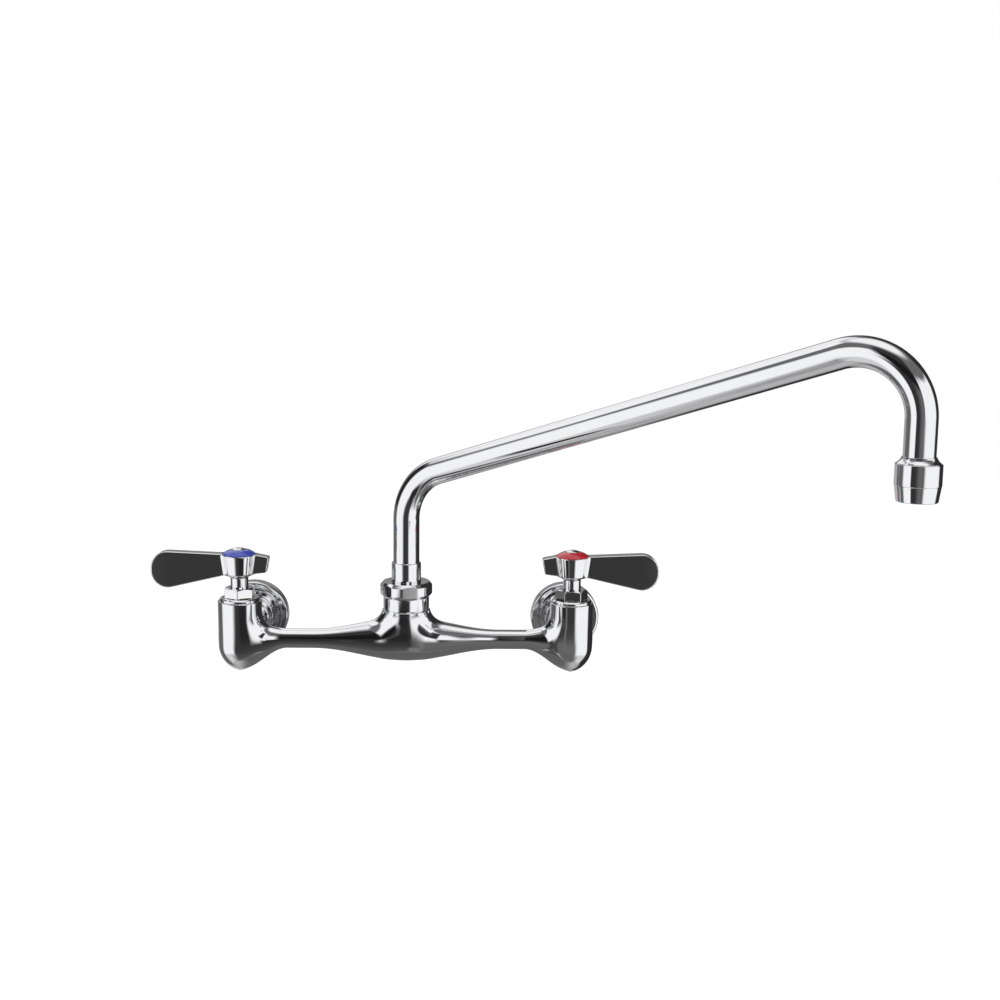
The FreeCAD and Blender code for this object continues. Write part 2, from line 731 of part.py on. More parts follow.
def makeLever(label, spot, turn):
    # A deep flat blade to one side of a tapered hub and a short stub to the other
    body = newBody(label)
    sketch = newSketch(body, "blade_outline")
    outline(sketch, [
        (-s.stubReach, s.stubLevel),
        (-(s.stubReach - s.stubLean), s.stubLevel - s.stubDepth),
        (zero, s.handleWaistLevel - s.bladeWaistDrop),
        (s.bladeRootReach, s.bladeRootLevel - s.bladeRootDepth),
        (s.bladeReach, s.bladeTopLevel - s.bladeDepth),
        (s.bladeReach, s.bladeTopLevel),
        (s.bladeRootReach, s.bladeRootLevel),
        (zero, s.handleLevel),
        (-s.bladeRootReach, s.bladeRootLevel),
    ])
    blade = pad(body, "blade", sketch, s.bladeThickness, midplane=True)

    def isCorner(edge):
        return edge.BoundBox.XLength < near and edge.BoundBox.ZLength < near

    def endCorner(edge):
        return isCorner(edge) and abs(edge.CenterOfMass.x - s.bladeReach.amount) < near

    def stubCorner(edge):
        return isCorner(edge) and edge.CenterOfMass.x < -(s.stubReach - s.stubLean).amount + near

    rounded = dress(body, "Fillet", "blade_end", blade, s.bladeEndRounding, endCorner)
    rounded = dress(body, "Fillet", "stub_end", rounded, s.stubRounding, stubCorner)

    def faceEdge(edge):
        onFace = abs(abs(edge.CenterOfMass.y) - s.bladeThickness.amount / 2) < near
        return onFace and abs(edge.BoundBox.YLength) < near

    dress(body, "Fillet", "blade_edges", rounded, s.bladeEdgeRounding, faceEdge)
    boreTop = s.stemLevel + s.slideFit
    revolve(body, "hub", [
        (zero, s.handleFootLevel),
        (s.handleFootRadius, s.handleFootLevel),
        (s.handleWaistRadius, s.handleWaistLevel),
        (s.handleTopRadius, s.handleLevel),
        (zero, s.handleLevel),
    ])
    revolve(body, "top_clearance", [
        (zero, s.handleLevel),
        (s.handleTopRadius, s.handleLevel),
        (s.handleTopRadius, s.bladeTopLevel + s.cutOverrun),
        (zero, s.bladeTopLevel + s.cutOverrun),
    ], cut=True)
    recessFloor = s.handleLevel - s.spigotDepth - s.slideFit
    revolve(body, "bore", [
        (zero, s.handleFootLevel - s.cutOverrun),
        (s.splineRadius + s.slideFit, s.handleFootLevel - s.cutOverrun),
        (s.splineRadius + s.slideFit, boreTop),
        (s.screwShankRadius + s.slideFit, boreTop),
        (s.screwShankRadius + s.slideFit, recessFloor),
        (s.spigotRadius + s.slideFit, recessFloor),
        (s.spigotRadius + s.slideFit, s.handleLevel + s.cutOverrun),
        (zero, s.handleLevel + s.cutOverrun),
    ], cut=True)
    place(body, spot, angle=turn)


def makeIndexCap(label, spot, turn):
    # A coloured dome that covers the hub, with a spigot in the hub's recess
    body = newBody(label)
    revolve(body, "dome", [
        (s.screwShankRadius + s.slideFit, s.handleLevel - s.spigotDepth),
        (s.spigotRadius, s.handleLevel - s.spigotDepth),
        (s.spigotRadius, s.handleLevel),
        (s.indexRadius, s.handleLevel),
        (s.indexRadius, s.handleLevel + s.indexRim, s.indexDomeRadius, -1),
        (s.indexCrownRadius, crownLevel),
        (s.screwShankRadius + s.slideFit, crownLevel),
    ])
    place(body, spot, angle=turn)


def makeHandleScrew(label, spot, turn):
    # A low domed head with a cross recess
    body = newBody(label)
    headRadius = (s.screwHeadRadius * s.screwHeadRadius + s.screwHeadHeight * s.screwHeadHeight) \
        / (s.screwHeadHeight * 2)
    revolve(body, "turning", [
        (zero, crownLevel - s.screwLength),
        (s.screwShankRadius, crownLevel - s.screwLength),
        (s.screwShankRadius, crownLevel),
        (s.screwHeadRadius, crownLevel, headRadius, -1),
        (zero, crownLevel + s.screwHeadHeight),
    ])
    for name, long, wide in (("slot", s.screwSlotLength, s.screwSlotWidth),
                             ("cross_slot", s.screwSlotWidth, s.screwSlotLength)):
        slot = newSketch(body, f"{name}_outline", role="XY_Plane",
                         offset=(zero, zero, crownLevel + s.screwHeadHeight - s.screwSlotDepth))
        outline(slot, [
            (-(long / 2), -(wide / 2)),
            (long / 2, -(wide / 2)),
            (long / 2, wide / 2),
            (-(long / 2), wide / 2),
        ])
        pad(body, name, slot, s.screwSlotDepth + s.cutOverrun, cut=True, back=True)
    place(body, spot, angle=turn)


def placeOnSpout(item):
    # The spout's own frame: the riser axis, turned to the photographed swing
    place(item, (zero, -s.wallToAxis, zero), axis=(0, 0, -1), angle=s.spoutSwing)
    bind(item, "Placement.Rotation.Angle", s.spoutSwing)


def spoutPath(body):
    # Riser, bend, long slope, bend and drop, in one upright plane
    sketch = newSketch(body, "path")
    slope = math.radians(s.spoutSlope.amount)
    along = FreeCAD.Vector(math.cos(slope), math.sin(slope), 0)
    up = FreeCAD.Vector(0, 1, 0)
    foot = FreeCAD.Vector(0, s.tubeFootLevel.amount, 0)
    lowCorner = FreeCAD.Vector(0, s.slopeLevel.amount, 0)
    highCorner = FreeCAD.Vector(s.spoutReach.amount,
                                s.slopeLevel.amount + s.spoutReach.amount * math.tan(slope), 0)
    lowSetback = s.lowerBend.amount * math.tan((math.pi / 2 - slope) / 2)
    highSetback = s.upperBend.amount * math.tan((math.pi / 2 + slope) / 2)
    mouth = FreeCAD.Vector(s.spoutReach.amount, s.tubeMouthLevel.amount, 0)
    lowStart = lowCorner - up * lowSetback
    lowEnd = lowCorner + along * lowSetback
    highStart = highCorner - along * highSetback
    highEnd = highCorner - up * highSetback
    sketch.addGeometry(Part.LineSegment(foot, lowStart), False)
    sketch.addGeometry(arcBetween(lowStart, lowEnd, s.lowerBend.amount, 1), False)
    sketch.addGeometry(Part.LineSegment(lowEnd, highStart), False)
    sketch.addGeometry(arcBetween(highStart, highEnd, s.upperBend.amount, 1), False)
    sketch.addGeometry(Part.LineSegment(highEnd, mouth), False)
    for first, firstEnd, second, secondEnd in ((0, 2, 1, 2), (1, 1, 2, 1), (2, 2, 3, 2), (3, 1, 4, 1)):
        sketch.addConstraint(Sketcher.Constraint("Tangent", first, firstEnd, second, secondEnd))
    sketch.addConstraint(Sketcher.Constraint("Vertical", 0))
    sketch.addConstraint(Sketcher.Constraint("Vertical", 4))
    pin(sketch, 0, 1, zero, s.tubeFootLevel)
    pin(sketch, 4, 2, s.spoutReach, s.tubeMouthLevel)
    for curve, radius in ((1, s.lowerBend), (3, s.upperBend)):
        index = sketch.addConstraint(Sketcher.Constraint("Radius", curve, radius.amount))
        bind(sketch, f"Constraints[{index}]", radius)
    index = sketch.addConstraint(Sketcher.Constraint("Angle", -1, 2, slope))
    bind(sketch, f"Constraints[{index}]", s.spoutSlope)
    # The slope's line meets the riser axis at its own level
    corner = sketch.addGeometry(Part.Point(lowCorner), True)
    sketch.addConstraint(Sketcher.Constraint("PointOnObject", corner, 1, 2))
    pin(sketch, corner, 1, zero, s.slopeLevel)
    return sketch


def makeSpout():
    tube = newBody("spout_tube")
    path = spoutPath(tube)
    section = newSketch(tube, "section", role="XY_Plane", offset=(zero, zero, s.tubeFootLevel))
    circleIn(section, s.tubeRadius)
    circleIn(section, tubeBore)
    sweep = tube.newObject("PartDesign::AdditivePipe", "spout_tube_sweep")
    sweep.Profile = section
    sweep.Spine = path
    placeOnSpout(tube)

    sleeve = newBody("spout_sleeve")
    grooves = []
    for step in range(2):
        level = s.sealLevel + s.sealPitch * step
        half = s.sealSection / 2 + s.slideFit
        grooves += [
            (s.sleeveRadius, level - half),
            (s.sleeveRadius - s.sealSection, level - half),
            (s.sleeveRadius - s.sealSection, level + half),
            (s.sleeveRadius, level + half),
        ]
    revolve(sleeve, "turning", [
        (s.sleeveBoreRadius, s.sleeveFootLevel),
        (s.sleeveRadius, s.sleeveFootLevel),
    ] + grooves + [
        (s.sleeveRadius, keeperFoot),
        (s.sleeveRadius - s.keeperGroove, keeperFoot),
        (s.sleeveRadius - s.keeperGroove, keeperLevel),
        (s.sleeveRadius, keeperLevel),
        (s.sleeveRadius, s.sleeveLevel - s.edgeBreak),
        (s.sleeveRadius - s.edgeBreak, s.sleeveLevel),
        (sleeveSeat, s.sleeveLevel),
        (sleeveSeat, s.tubeFootLevel),
        (s.sleeveBoreRadius, s.tubeFootLevel),
    ])
    placeOnSpout(sleeve)

    seals = sealRings("spout_seals", s.sealSection - s.slideFit, s.sleeveRadius - s.sealSection / 2,
                      [s.sealLevel, s.sealLevel + s.sealPitch])
    placeOnSpout(seals)

    keeper = newBody("spout_keeper_ring")
    revolve(keeper, "ring", [
        (s.sleeveRadius - s.keeperGroove + s.slideFit, keeperFoot),
        (s.keeperRadius, keeperFoot),
        (s.keeperRadius, keeperLevel),
        (s.sleeveRadius - s.keeperGroove + s.slideFit, keeperLevel),
    ])
    placeOnSpout(keeper)

    nut = newBody("spout_nut")
    beyond = s.nutAcross / math.sqrt(3) + s.cutOverrun
    chamferStart = s.nutAcross / 2 - s.nutChamfer
    chamferDrop = (beyond - chamferStart) * s.chamferSlope
    hexSketch = newSketch(nut, "hex_outline", role="XY_Plane", offset=(zero, zero, s.bossLevel))
    hexagonIn(hexSketch, s.nutAcross)
    pad(nut, "hex", hexSketch, s.nutLevel - s.bossLevel)
    revolve(nut, "top_chamfer", [
        (beyond, s.nutLevel + s.cutOverrun),
        (chamferStart, s.nutLevel + s.cutOverrun),
        (chamferStart, s.nutLevel),
        (beyond, s.nutLevel - chamferDrop),
    ], cut=True)
    revolve(nut, "foot_chamfer", [
        (beyond, s.bossLevel - s.cutOverrun),
        (beyond, s.bossLevel + chamferDrop),
        (chamferStart, s.bossLevel),
        (chamferStart, s.bossLevel - s.cutOverrun),
    ], cut=True)
    revolve(nut, "corner_turning", [
        (s.nutCornerRadius, s.bossLevel - s.cutOverrun),
        (beyond, s.bossLevel - s.cutOverrun),
        (beyond, s.nutLevel + s.cutOverrun),
        (s.nutCornerRadius, s.nutLevel + s.cutOverrun),
    ], cut=True)
    revolve(nut, "bore", [
        (zero, s.bossLevel - s.cutOverrun),
        (s.bossThreadRadius + s.slideFit, s.bossLevel - s.cutOverrun),
        (s.bossThreadRadius + s.slideFit, s.nutLevel - s.nutLip),
        (socketRadius, s.nutLevel - s.nutLip),
        (socketRadius, s.nutLevel + s.cutOverrun),
        (zero, s.nutLevel + s.cutOverrun),
    ], cut=True)
    place(nut, (zero, -s.wallToAxis, zero), angle=s.nutTurn)


def makeOutlet():
    atMouth = (s.spoutReach, zero, zero)
    nipple = newBody("outlet_nipple")
    revolve(nipple, "turning", [
        (sleeveSeat - s.nippleSeat, s.nippleFootLevel),
        (s.nippleThreadRadius, s.nippleFootLevel),
        (s.nippleThreadRadius, s.nippleFlareLevel),
        (s.nippleFlareRadius, s.nippleFlareLevel, s.nippleFlareCurve, 1),
        (sleeveSeat + s.edgeBreak, s.nippleLevel),
        (sleeveSeat, s.nippleLevel),
        (sleeveSeat, s.tubeMouthLevel),
        (sleeveSeat - s.nippleSeat, s.tubeMouthLevel),
    ], offset=atMouth)
    placeOnSpout(nipple)

    lipLevel = s.shellMouthLevel + s.shellLip
    screenTop = lipLevel + s.screenThickness
    insertTop = s.nippleFootLevel - s.washerThickness
    shell = newBody("aerator_shell")
    revolve(shell, "turning", [
        (s.shellMouthBore, s.shellMouthLevel),
        (s.shellMouthRadius - s.edgeBreak, s.shellMouthLevel),
        (s.shellMouthRadius, s.shellMouthLevel + s.edgeBreak),
        (s.shellRadius - s.shellDraft, s.shellStepLevel),
        (s.shellRadius, s.shellStepLevel + s.edgeBreak),
        (s.shellRadius, s.shellLevel - s.edgeBreak),
        (s.shellRadius - s.edgeBreak, s.shellLevel),
        (s.nippleThreadRadius + s.slideFit, s.shellLevel),
        (s.nippleThreadRadius + s.slideFit, insertTop),
        (s.insertRadius + s.slideFit, insertTop),
        (s.insertRadius + s.slideFit, lipLevel),
        (s.shellMouthBore, lipLevel),
    ], offset=atMouth)
    placeOnSpout(shell)

    screen = newBody("aerator_screen")
    revolve(screen, "disc", [
        (zero, lipLevel),
        (s.insertRadius, lipLevel),
        (s.insertRadius, screenTop),
        (zero, screenTop),
    ], offset=atMouth)
    placeOnSpout(screen)

    insert = newBody("aerator_insert")
    revolve(insert, "cup", [
        (s.insertBoreRadius, screenTop),
        (s.insertRadius, screenTop),
        (s.insertRadius, insertTop),
        (zero, insertTop),
        (zero, insertTop - s.insertFloor),
        (s.insertBoreRadius, insertTop - s.insertFloor),
    ], offset=atMouth)
    holes = newSketch(insert, "jets", role="XY_Plane", offset=(zero, zero, insertTop))
    for step in range(jetCount):
        angle = 2 * math.pi * step / jetCount
        circleIn(holes, s.jetRadius, s.spoutReach + s.jetPitch * round(math.cos(angle), 9),
                 s.jetPitch * round(math.sin(angle), 9))
    pad(insert, "jet_holes", holes, s.insertFloor + s.cutOverrun, cut=True)
    placeOnSpout(insert)

    washer = newBody("aerator_washer")
    revolve(washer, "ring", [
        (s.insertBoreRadius, insertTop),
        (s.nippleThreadRadius, insertTop),
        (s.nippleThreadRadius, s.nippleFootLevel),
        (s.insertBoreRadius, s.nippleFootLevel),
    ], offset=atMouth)
    placeOnSpout(washer)


makeCasting()
for side, across, hexTurn, leverTurn in (("left", -axisReach, 0, 180), ("right", axisReach, 30, 0)):
    axisSpot = (across, -s.wallToAxis, zero)
    makeInlet(side, across)
    makeCartridge(side, axisSpot, hexTurn)
    makeHandle(side, axisSpot, leverTurn)
makeSpout()
makeOutlet()
doc.recompute()

for item in doc.Objects:
    if "Invalid" in item.State or "Error" in item.State:
        raise RuntimeError(f"{item.Name} failed: {item.State}")
os.makedirs("parts", exist_ok=True)
for part in parts:
    if part.Shape.isNull() or not part.Shape.isValid():
        raise RuntimeError(f"{part.Label} has no valid shape")
for part in parts:
    part.Shape.exportStep(f"parts/{part.Label}.step")
    print(f"{part.Label}: {len(part.Shape.Solids)} solid, {part.Shape.Volume:.1f} cubic mm")
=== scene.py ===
import json
import math

import bpy
import numpy as np
from mathutils import Matrix, Vector


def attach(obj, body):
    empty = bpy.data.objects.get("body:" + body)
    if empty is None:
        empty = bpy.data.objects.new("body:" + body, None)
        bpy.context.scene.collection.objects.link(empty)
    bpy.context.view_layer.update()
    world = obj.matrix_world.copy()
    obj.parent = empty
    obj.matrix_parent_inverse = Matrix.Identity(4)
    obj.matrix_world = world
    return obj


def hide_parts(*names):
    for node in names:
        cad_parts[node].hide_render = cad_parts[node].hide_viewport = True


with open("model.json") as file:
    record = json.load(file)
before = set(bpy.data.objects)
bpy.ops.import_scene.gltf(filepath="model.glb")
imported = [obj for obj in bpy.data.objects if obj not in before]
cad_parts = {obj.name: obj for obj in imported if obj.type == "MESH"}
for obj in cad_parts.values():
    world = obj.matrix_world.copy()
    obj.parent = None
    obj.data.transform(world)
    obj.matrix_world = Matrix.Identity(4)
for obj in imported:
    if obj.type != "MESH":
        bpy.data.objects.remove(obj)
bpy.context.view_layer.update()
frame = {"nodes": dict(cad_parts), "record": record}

# Wall-mounted utility faucet in polished chrome, dressed for its studio picture
# Sizes are millimetres here and become metres where a piece is made
mm = 0.001
print("frame loaded:", len(frame["nodes"]), "nodes")

layout = {
    "valveReach": 101.6,      # from the middle to each valve axis
    "wallToAxis": 63.0,       # from the wall to the valve axes
    "spoutSwing": 32.4,       # degrees from +X towards the room
    "sides": (("left", -1), ("right", 1)),
}


def valveSpot(across):
    # On a valve's axis, or on the boss's axis where across is 0
    return Matrix.Translation((across * layout["valveReach"], -layout["wallToAxis"], 0))


def turnSpot(spot, degrees, axis="Z"):
    return spot @ Matrix.Rotation(math.radians(degrees), 4, axis)


# Shaders: noise scales are per metre, and bump depths are metres

grain = {
    "cloud": 55.0, "haze": 420.0, "hazeRange": (0.35, 0.75), "ripple": 90.0, "rippleDepth": 0.0006,
    "mouldedRange": (0.3, 0.7), "mouldedSpread": 0.15, "mouldedDepth": 0.0003, "coatRoughness": 0.04,
    "weave": 420.0, "weaveRoughness": (0.6, 0.3), "weaveStrength": 0.8, "weaveDepth": 0.0003,
    # Gauze colours: painted shade for the gaps between the wires, then the wires' own grey
    "gapShadeAndWire": ((0.05, 0.05, 0.05, 1), (0.7, 0.7, 0.7, 1)),
}


def addNode(tree, kind, **settings):
    node = tree.nodes.new(kind)
    for name, value in settings.items():
        setattr(node, name, value)
    return node


def feed(tree, socket, value):
    if isinstance(value, bpy.types.NodeSocket):
        tree.links.new(value, socket)
    else:
        socket.default_value = value


def calc(tree, operation, first, second=0.0):
    node = addNode(tree, "ShaderNodeMath", operation=operation)
    feed(tree, node.inputs[0], first)
    feed(tree, node.inputs[1], second)
    return node.outputs[0]


def ramp(tree, value, low, high, atLow=0.0, atHigh=1.0):
    node = addNode(tree, "ShaderNodeMapRange", interpolation_type="SMOOTHSTEP")
    for index, amount in enumerate((value, low, high, atLow, atHigh)):
        feed(tree, node.inputs[index], amount)
    return node.outputs[0]


def mixColor(tree, share, first, second):
    node = addNode(tree, "ShaderNodeMix", data_type="RGBA")
    for index, amount in ((0, share), (6, first), (7, second)):
        feed(tree, node.inputs[index], amount)
    return node.outputs[2]


def mixShade(tree, share, first, second):
    node = addNode(tree, "ShaderNodeMix", data_type="FLOAT")
    for index, amount in ((0, share), (2, first), (3, second)):
        feed(tree, node.inputs[index], amount)
    return node.outputs[0]


def noise(tree, scale, detail=3.0, stretch=(1, 1, 1)):
    place = addNode(tree, "ShaderNodeTexCoord")
    turn = addNode(tree, "ShaderNodeMapping")
    turn.inputs["Scale"].default_value = stretch
    tree.links.new(place.outputs["Object"], turn.inputs["Vector"])
    node = addNode(tree, "ShaderNodeTexNoise")
    tree.links.new(turn.outputs["Vector"], node.inputs["Vector"])
    node.inputs["Scale"].default_value = scale
    node.inputs["Detail"].default_value = detail
    return node.outputs["Fac"]


def bumped(tree, shader, height, strength, distance):
    node = addNode(tree, "ShaderNodeBump")
    node.inputs["Strength"].default_value = strength
    node.inputs["Distance"].default_value = distance
    tree.links.new(height, node.inputs["Height"])
    tree.links.new(node.outputs["Normal"], shader.inputs["Normal"])


def newMaterial(name, metallic=0.0):
    material = bpy.data.materials.new(name)
    material.use_nodes = True
    shader = material.node_tree.nodes["Principled BSDF"]
    shader.inputs["Metallic"].default_value = metallic
    return material, material.node_tree, shader


def metalFinish(name, clean, cloudy, smooth, hazed, stretch=(1, 1, 1), ripple=0.0):
    # Plated or turned metal: a faint cloud in its colour and a polish that comes and goes
    material, tree, shader = newMaterial(name, 1.0)
    cloud = noise(tree, grain["cloud"])
    tree.links.new(mixColor(tree, cloud, clean, cloudy), shader.inputs["Base Color"])
    haze = noise(tree, grain["haze"], detail=4.0, stretch=stretch)
    tree.links.new(ramp(tree, haze, *grain["hazeRange"], smooth, hazed), shader.inputs["Roughness"])
    if ripple:
        waves = noise(tree, grain["ripple"], detail=2.0, stretch=stretch)
        bumped(tree, shader, waves, ripple, grain["rippleDepth"])
    return material


def softFinish(name, light, dark, roughness, scale, strength, coat=0.0):
    # Moulded, pressed or lapped material with a fine grain
    material, tree, shader = newMaterial(name)
    speckle = noise(tree, scale, detail=5.0)
    tree.links.new(mixColor(tree, speckle, light, dark), shader.inputs["Base Color"])
    spread = grain["mouldedSpread"]
    tree.links.new(ramp(tree, speckle, *grain["mouldedRange"], roughness * (1 - spread),
                        roughness * (1 + spread)), shader.inputs["Roughness"])
    shader.inputs["Coat Weight"].default_value = coat
    shader.inputs["Coat Roughness"].default_value = grain["coatRoughness"]
    bumped(tree, shader, speckle, strength, grain["mouldedDepth"])
    return material


def wovenFinish(name):
    # Fine steel gauze: two crossed sets of wires, with painted shade in the gaps between them
    material, tree, shader = newMaterial(name, 1.0)
    place = addNode(tree, "ShaderNodeTexCoord")
    wires = []
    for direction in ("X", "Y"):
        wave = addNode(tree, "ShaderNodeTexWave", bands_direction=direction)
        tree.links.new(place.outputs["Object"], wave.inputs["Vector"])
        wave.inputs["Scale"].default_value = grain["weave"]
        wires.append(wave.outputs["Fac"])
    height = calc(tree, "MAXIMUM", wires[0], wires[1])
    # Painted shade: the colour turns near black in the gaps where neither wire rises
    tree.links.new(mixColor(tree, height, *grain["gapShadeAndWire"]), shader.inputs["Base Color"])
    tree.links.new(ramp(tree, height, 0.0, 1.0, *grain["weaveRoughness"]), shader.inputs["Roughness"])
    bumped(tree, shader, height, grain["weaveStrength"], grain["weaveDepth"])
    return material


finishes = {
    "chromed_brass": metalFinish("polished chrome", (0.88, 0.885, 0.895, 1), (0.84, 0.845, 0.855, 1),
                                 smooth=0.03, hazed=0.07, ripple=0.004),
    "bare_brass": metalFinish("turned brass", (0.78, 0.6, 0.3, 1), (0.68, 0.5, 0.24, 1),
                              smooth=0.18, hazed=0.34, stretch=(1, 1, 18), ripple=0.1),
    "black_rubber": softFinish("black rubber", (0.03, 0.03, 0.03, 1), (0.015, 0.015, 0.015, 1),
                               roughness=0.6, scale=900.0, strength=0.3),
    "fibre_gasket": softFinish("red fibre", (0.38, 0.13, 0.08, 1), (0.24, 0.08, 0.05, 1),
                               roughness=0.85, scale=1400.0, strength=0.6),
    "ceramic": softFinish("lapped ceramic", (0.92, 0.91, 0.88, 1), (0.86, 0.85, 0.82, 1),
                          roughness=0.12, scale=1200.0, strength=0.05),
    "steel_mesh": wovenFinish("steel gauze"),
    "white_plastic": softFinish("white acetal", (0.86, 0.86, 0.84, 1), (0.8, 0.8, 0.78, 1),
                                roughness=0.4, scale=700.0, strength=0.15),
    "cold_blue": softFinish("cold blue", (0.035, 0.06, 0.36, 1), (0.028, 0.048, 0.3, 1),
                            roughness=0.16, scale=260.0, strength=0.05, coat=0.6),
    "hot_red": softFinish("hot red", (0.46, 0.012, 0.022, 1), (0.38, 0.01, 0.018, 1),
                          roughness=0.16, scale=260.0, strength=0.05, coat=0.6),
}
slotOf = {item["node"]: item["material_slot"] for item in frame["record"]["subparts"]}
for node, item in frame["nodes"].items():
    item.data.materials.clear()
    item.data.materials.append(finishes[slotOf[node]])
    for face in item.data.polygons:
        face.use_smooth = False
print("finishes:", len(finishes))


# Mesh makers

meshing = {
    "turnedSides": 120,
    "plainEdge": 0.1,         # rounding of a corner that names none
    # Steps round a corner: as a rule, in an outline with an arc, and on the lever's blade
    "roundSteps": 5, "arcSteps": 3, "bladeSteps": 10,
    # Hexagons: degrees kept clear of a corner, points on a flat and on a turned corner, rounding of
    # their edges, their least chamfer, and how far a plain foot is drawn in
    "hexGap": 0.4, "hexFlat": 11, "hexCorner": 7, "hexEdge": 0.15, "hexSteps": 4,
    "hexLeastDrop": 0.02, "hexPlainFoot": 0.3, "hexLeastLean": 0.05,
    # Field surfaces: laps of smoothing, how much each keeps and draws in, pulls back to the surface
    # after each, the longest pull as a share of a cell, and the step that slopes are measured over
    "laps": 3, "keep": 0.4, "draw": 0.6, "pulls": 3, "longestPull": 0.5, "leastSlope": 0.05,
    "slopeStep": 0.01,
}


def linkNew(name, data):
    item = bpy.data.objects.new(name, data)
    bpy.context.scene.collection.objects.link(item)
    return item


def newPiece(name, body, slot, nodes, points, normals, faces, place):
    mesh = bpy.data.meshes.new(name)
    mesh.from_pydata((np.asarray(points, float) * mm).tolist(), [], faces)
    piece = linkNew(name, mesh)
    mesh.polygons.foreach_set("use_smooth", np.ones(len(mesh.polygons), bool))
    mesh.normals_split_custom_set_from_vertices(np.asarray(normals, float).tolist())
    moved = place.copy()
    moved.translation *= mm
    mesh.transform(moved)
    mesh.materials.append(finishes[slot])
    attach(piece, body)
    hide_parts(*nodes)


def roundedOutline(corners, steps=meshing["roundSteps"]):
    # A closed outline walked with the solid on its left: points with the normal that each has
    # Each corner is (right, up, rounding): without its rounding it is a plain edge, and 0 is sharp
    spots = [np.array(corner[:2], float) for corner in corners]
    points = []
    for index, corner in enumerate(corners):
        here = spots[index]
        before = here - spots[index - 1]
        after = spots[(index + 1) % len(spots)] - here
        before /= np.linalg.norm(before)
        after /= np.linalg.norm(after)
        normalIn = np.array([before[1], -before[0]])
        rounding = corner[2] if len(corner) > 2 else meshing["plainEdge"]
        if rounding == 0:
            points.append((*here, *normalIn))
            continue
        turn = math.atan2(before[0] * after[1] - before[1] * after[0], before @ after)
        side = 1 if turn > 0 else -1
        reach = rounding * math.tan(abs(turn) / 2)
        centre = here - before * reach - normalIn * rounding * side
        for step in range(steps + 1):
            angle = math.atan2(normalIn[1], normalIn[0]) + turn * step / steps
            normal = np.array([math.cos(angle), math.sin(angle)])
            spot = centre + normal * rounding * side
            points.append((spot[0], spot[1], normal[0], normal[1]))
    return np.array(points)


def ringFaces(rows, columns):
    # Quads between rows of points, closed both along and across
    faces = []
    for row in range(rows):
        nextRow = (row + 1) % rows
        for column in range(columns):
            nextColumn = (column + 1) % columns
            faces.append((row * columns + column, row * columns + nextColumn,
                          nextRow * columns + nextColumn, nextRow * columns + column))
    return faces


def latheMesh(corners, steps=meshing["roundSteps"]):
    # Turns an outline that stays clear of the axis about +Z
    profile = roundedOutline(corners, steps)
    sides = meshing["turnedSides"]
    angles = np.linspace(0, 2 * math.pi, sides, endpoint=False)
    cosines, sines = np.cos(angles), np.sin(angles)
    points, normals = [], []
    for right, up, normalRight, normalUp in profile:
        points += list(zip(cosines * right, sines * right, [up] * sides))
        normals += list(zip(cosines * normalRight, sines * normalRight, [normalUp] * sides))
    return points, normals, ringFaces(len(profile), sides)


def hexRadius(angle, across):
    # Distance from the axis to a hexagon's side
    return across / 2 / math.cos((angle + math.pi / 6) % (math.pi / 3) - math.pi / 6)


def hexMesh(across, corner, foot, top, bore, chamfer, slope, footChamfer=True):
    # A hexagon nut with turned chamfers: one rounded outline for every direction about the axis
    m = meshing
    edge = math.degrees(math.acos(across / 2 / corner))
    steps = np.concatenate([np.linspace(-edge + m["hexGap"], edge - m["hexGap"], m["hexFlat"]),
                            np.linspace(edge + m["hexGap"], 60 - edge - m["hexGap"], m["hexCorner"])])
    angles = np.concatenate([np.radians(60 * side + steps) for side in range(6)])
    start = across / 2 - chamfer
    columns = []
    for angle in angles:
        radius = min(hexRadius(angle, across), corner)
        drop = max((radius - start) * slope, m["hexLeastDrop"])
        footDrop = drop if footChamfer else m["hexPlainFoot"]
        footStart = start if footChamfer else radius - m["hexPlainFoot"]
        columns.append(roundedOutline([
            (bore, foot), (footStart, foot), (radius, foot + footDrop, m["hexEdge"]),
            (radius, top - drop, m["hexEdge"]), (start, top, m["hexEdge"]), (bore, top)],
            m["hexSteps"]))
    columns = np.array(columns).transpose(1, 0, 2)
    points = np.stack([columns[:, :, 0] * np.cos(angles), columns[:, :, 0] * np.sin(angles),
                       columns[:, :, 1]], 2)
    alongStep = np.roll(points, -1, 0) - np.roll(points, 1, 0)
    acrossStep = np.roll(points, -1, 1) - np.roll(points, 1, 1)
    lean = np.cross(acrossStep, alongStep)
    lean /= np.maximum(np.linalg.norm(lean, axis=2, keepdims=True), 1e-12)
    # Inside one outline the turned normal is exact, and only its lean about the axis is measured
    spin = np.arctan2(lean[:, :, 1], lean[:, :, 0])
    radial = np.hypot(lean[:, :, 0], lean[:, :, 1]) > m["hexLeastLean"]
    turned = np.where(radial, spin, angles)
    flat = np.abs(columns[:, :, 2])
    exact = np.stack([np.cos(turned) * flat, np.sin(turned) * flat, columns[:, :, 3]], 2)
    exact /= np.linalg.norm(exact, axis=2, keepdims=True)
    return points.reshape(-1, 3), exact.reshape(-1, 3), ringFaces(*columns.shape[:2])


def smoothUnion(first, second, reach):
    share = np.maximum(reach - np.abs(first - second), 0) / reach
    return np.minimum(first, second) - share * share * reach / 4


def smoothMax(first, second, reach):
    return -smoothUnion(-first, -second, reach)


def softStep(value, low, high):
    share = np.clip((value - low) / (high - low), 0, 1)
    return share * share * (3 - 2 * share)


def slopeOf(field, points):
    step = meshing["slopeStep"]
    parts = []
    for axis in range(3):
        shift = np.zeros(3)
        shift[axis] = step
        parts.append((field(*(points + shift).T) - field(*(points - shift).T)) / (2 * step))
    return np.stack(parts, 1)


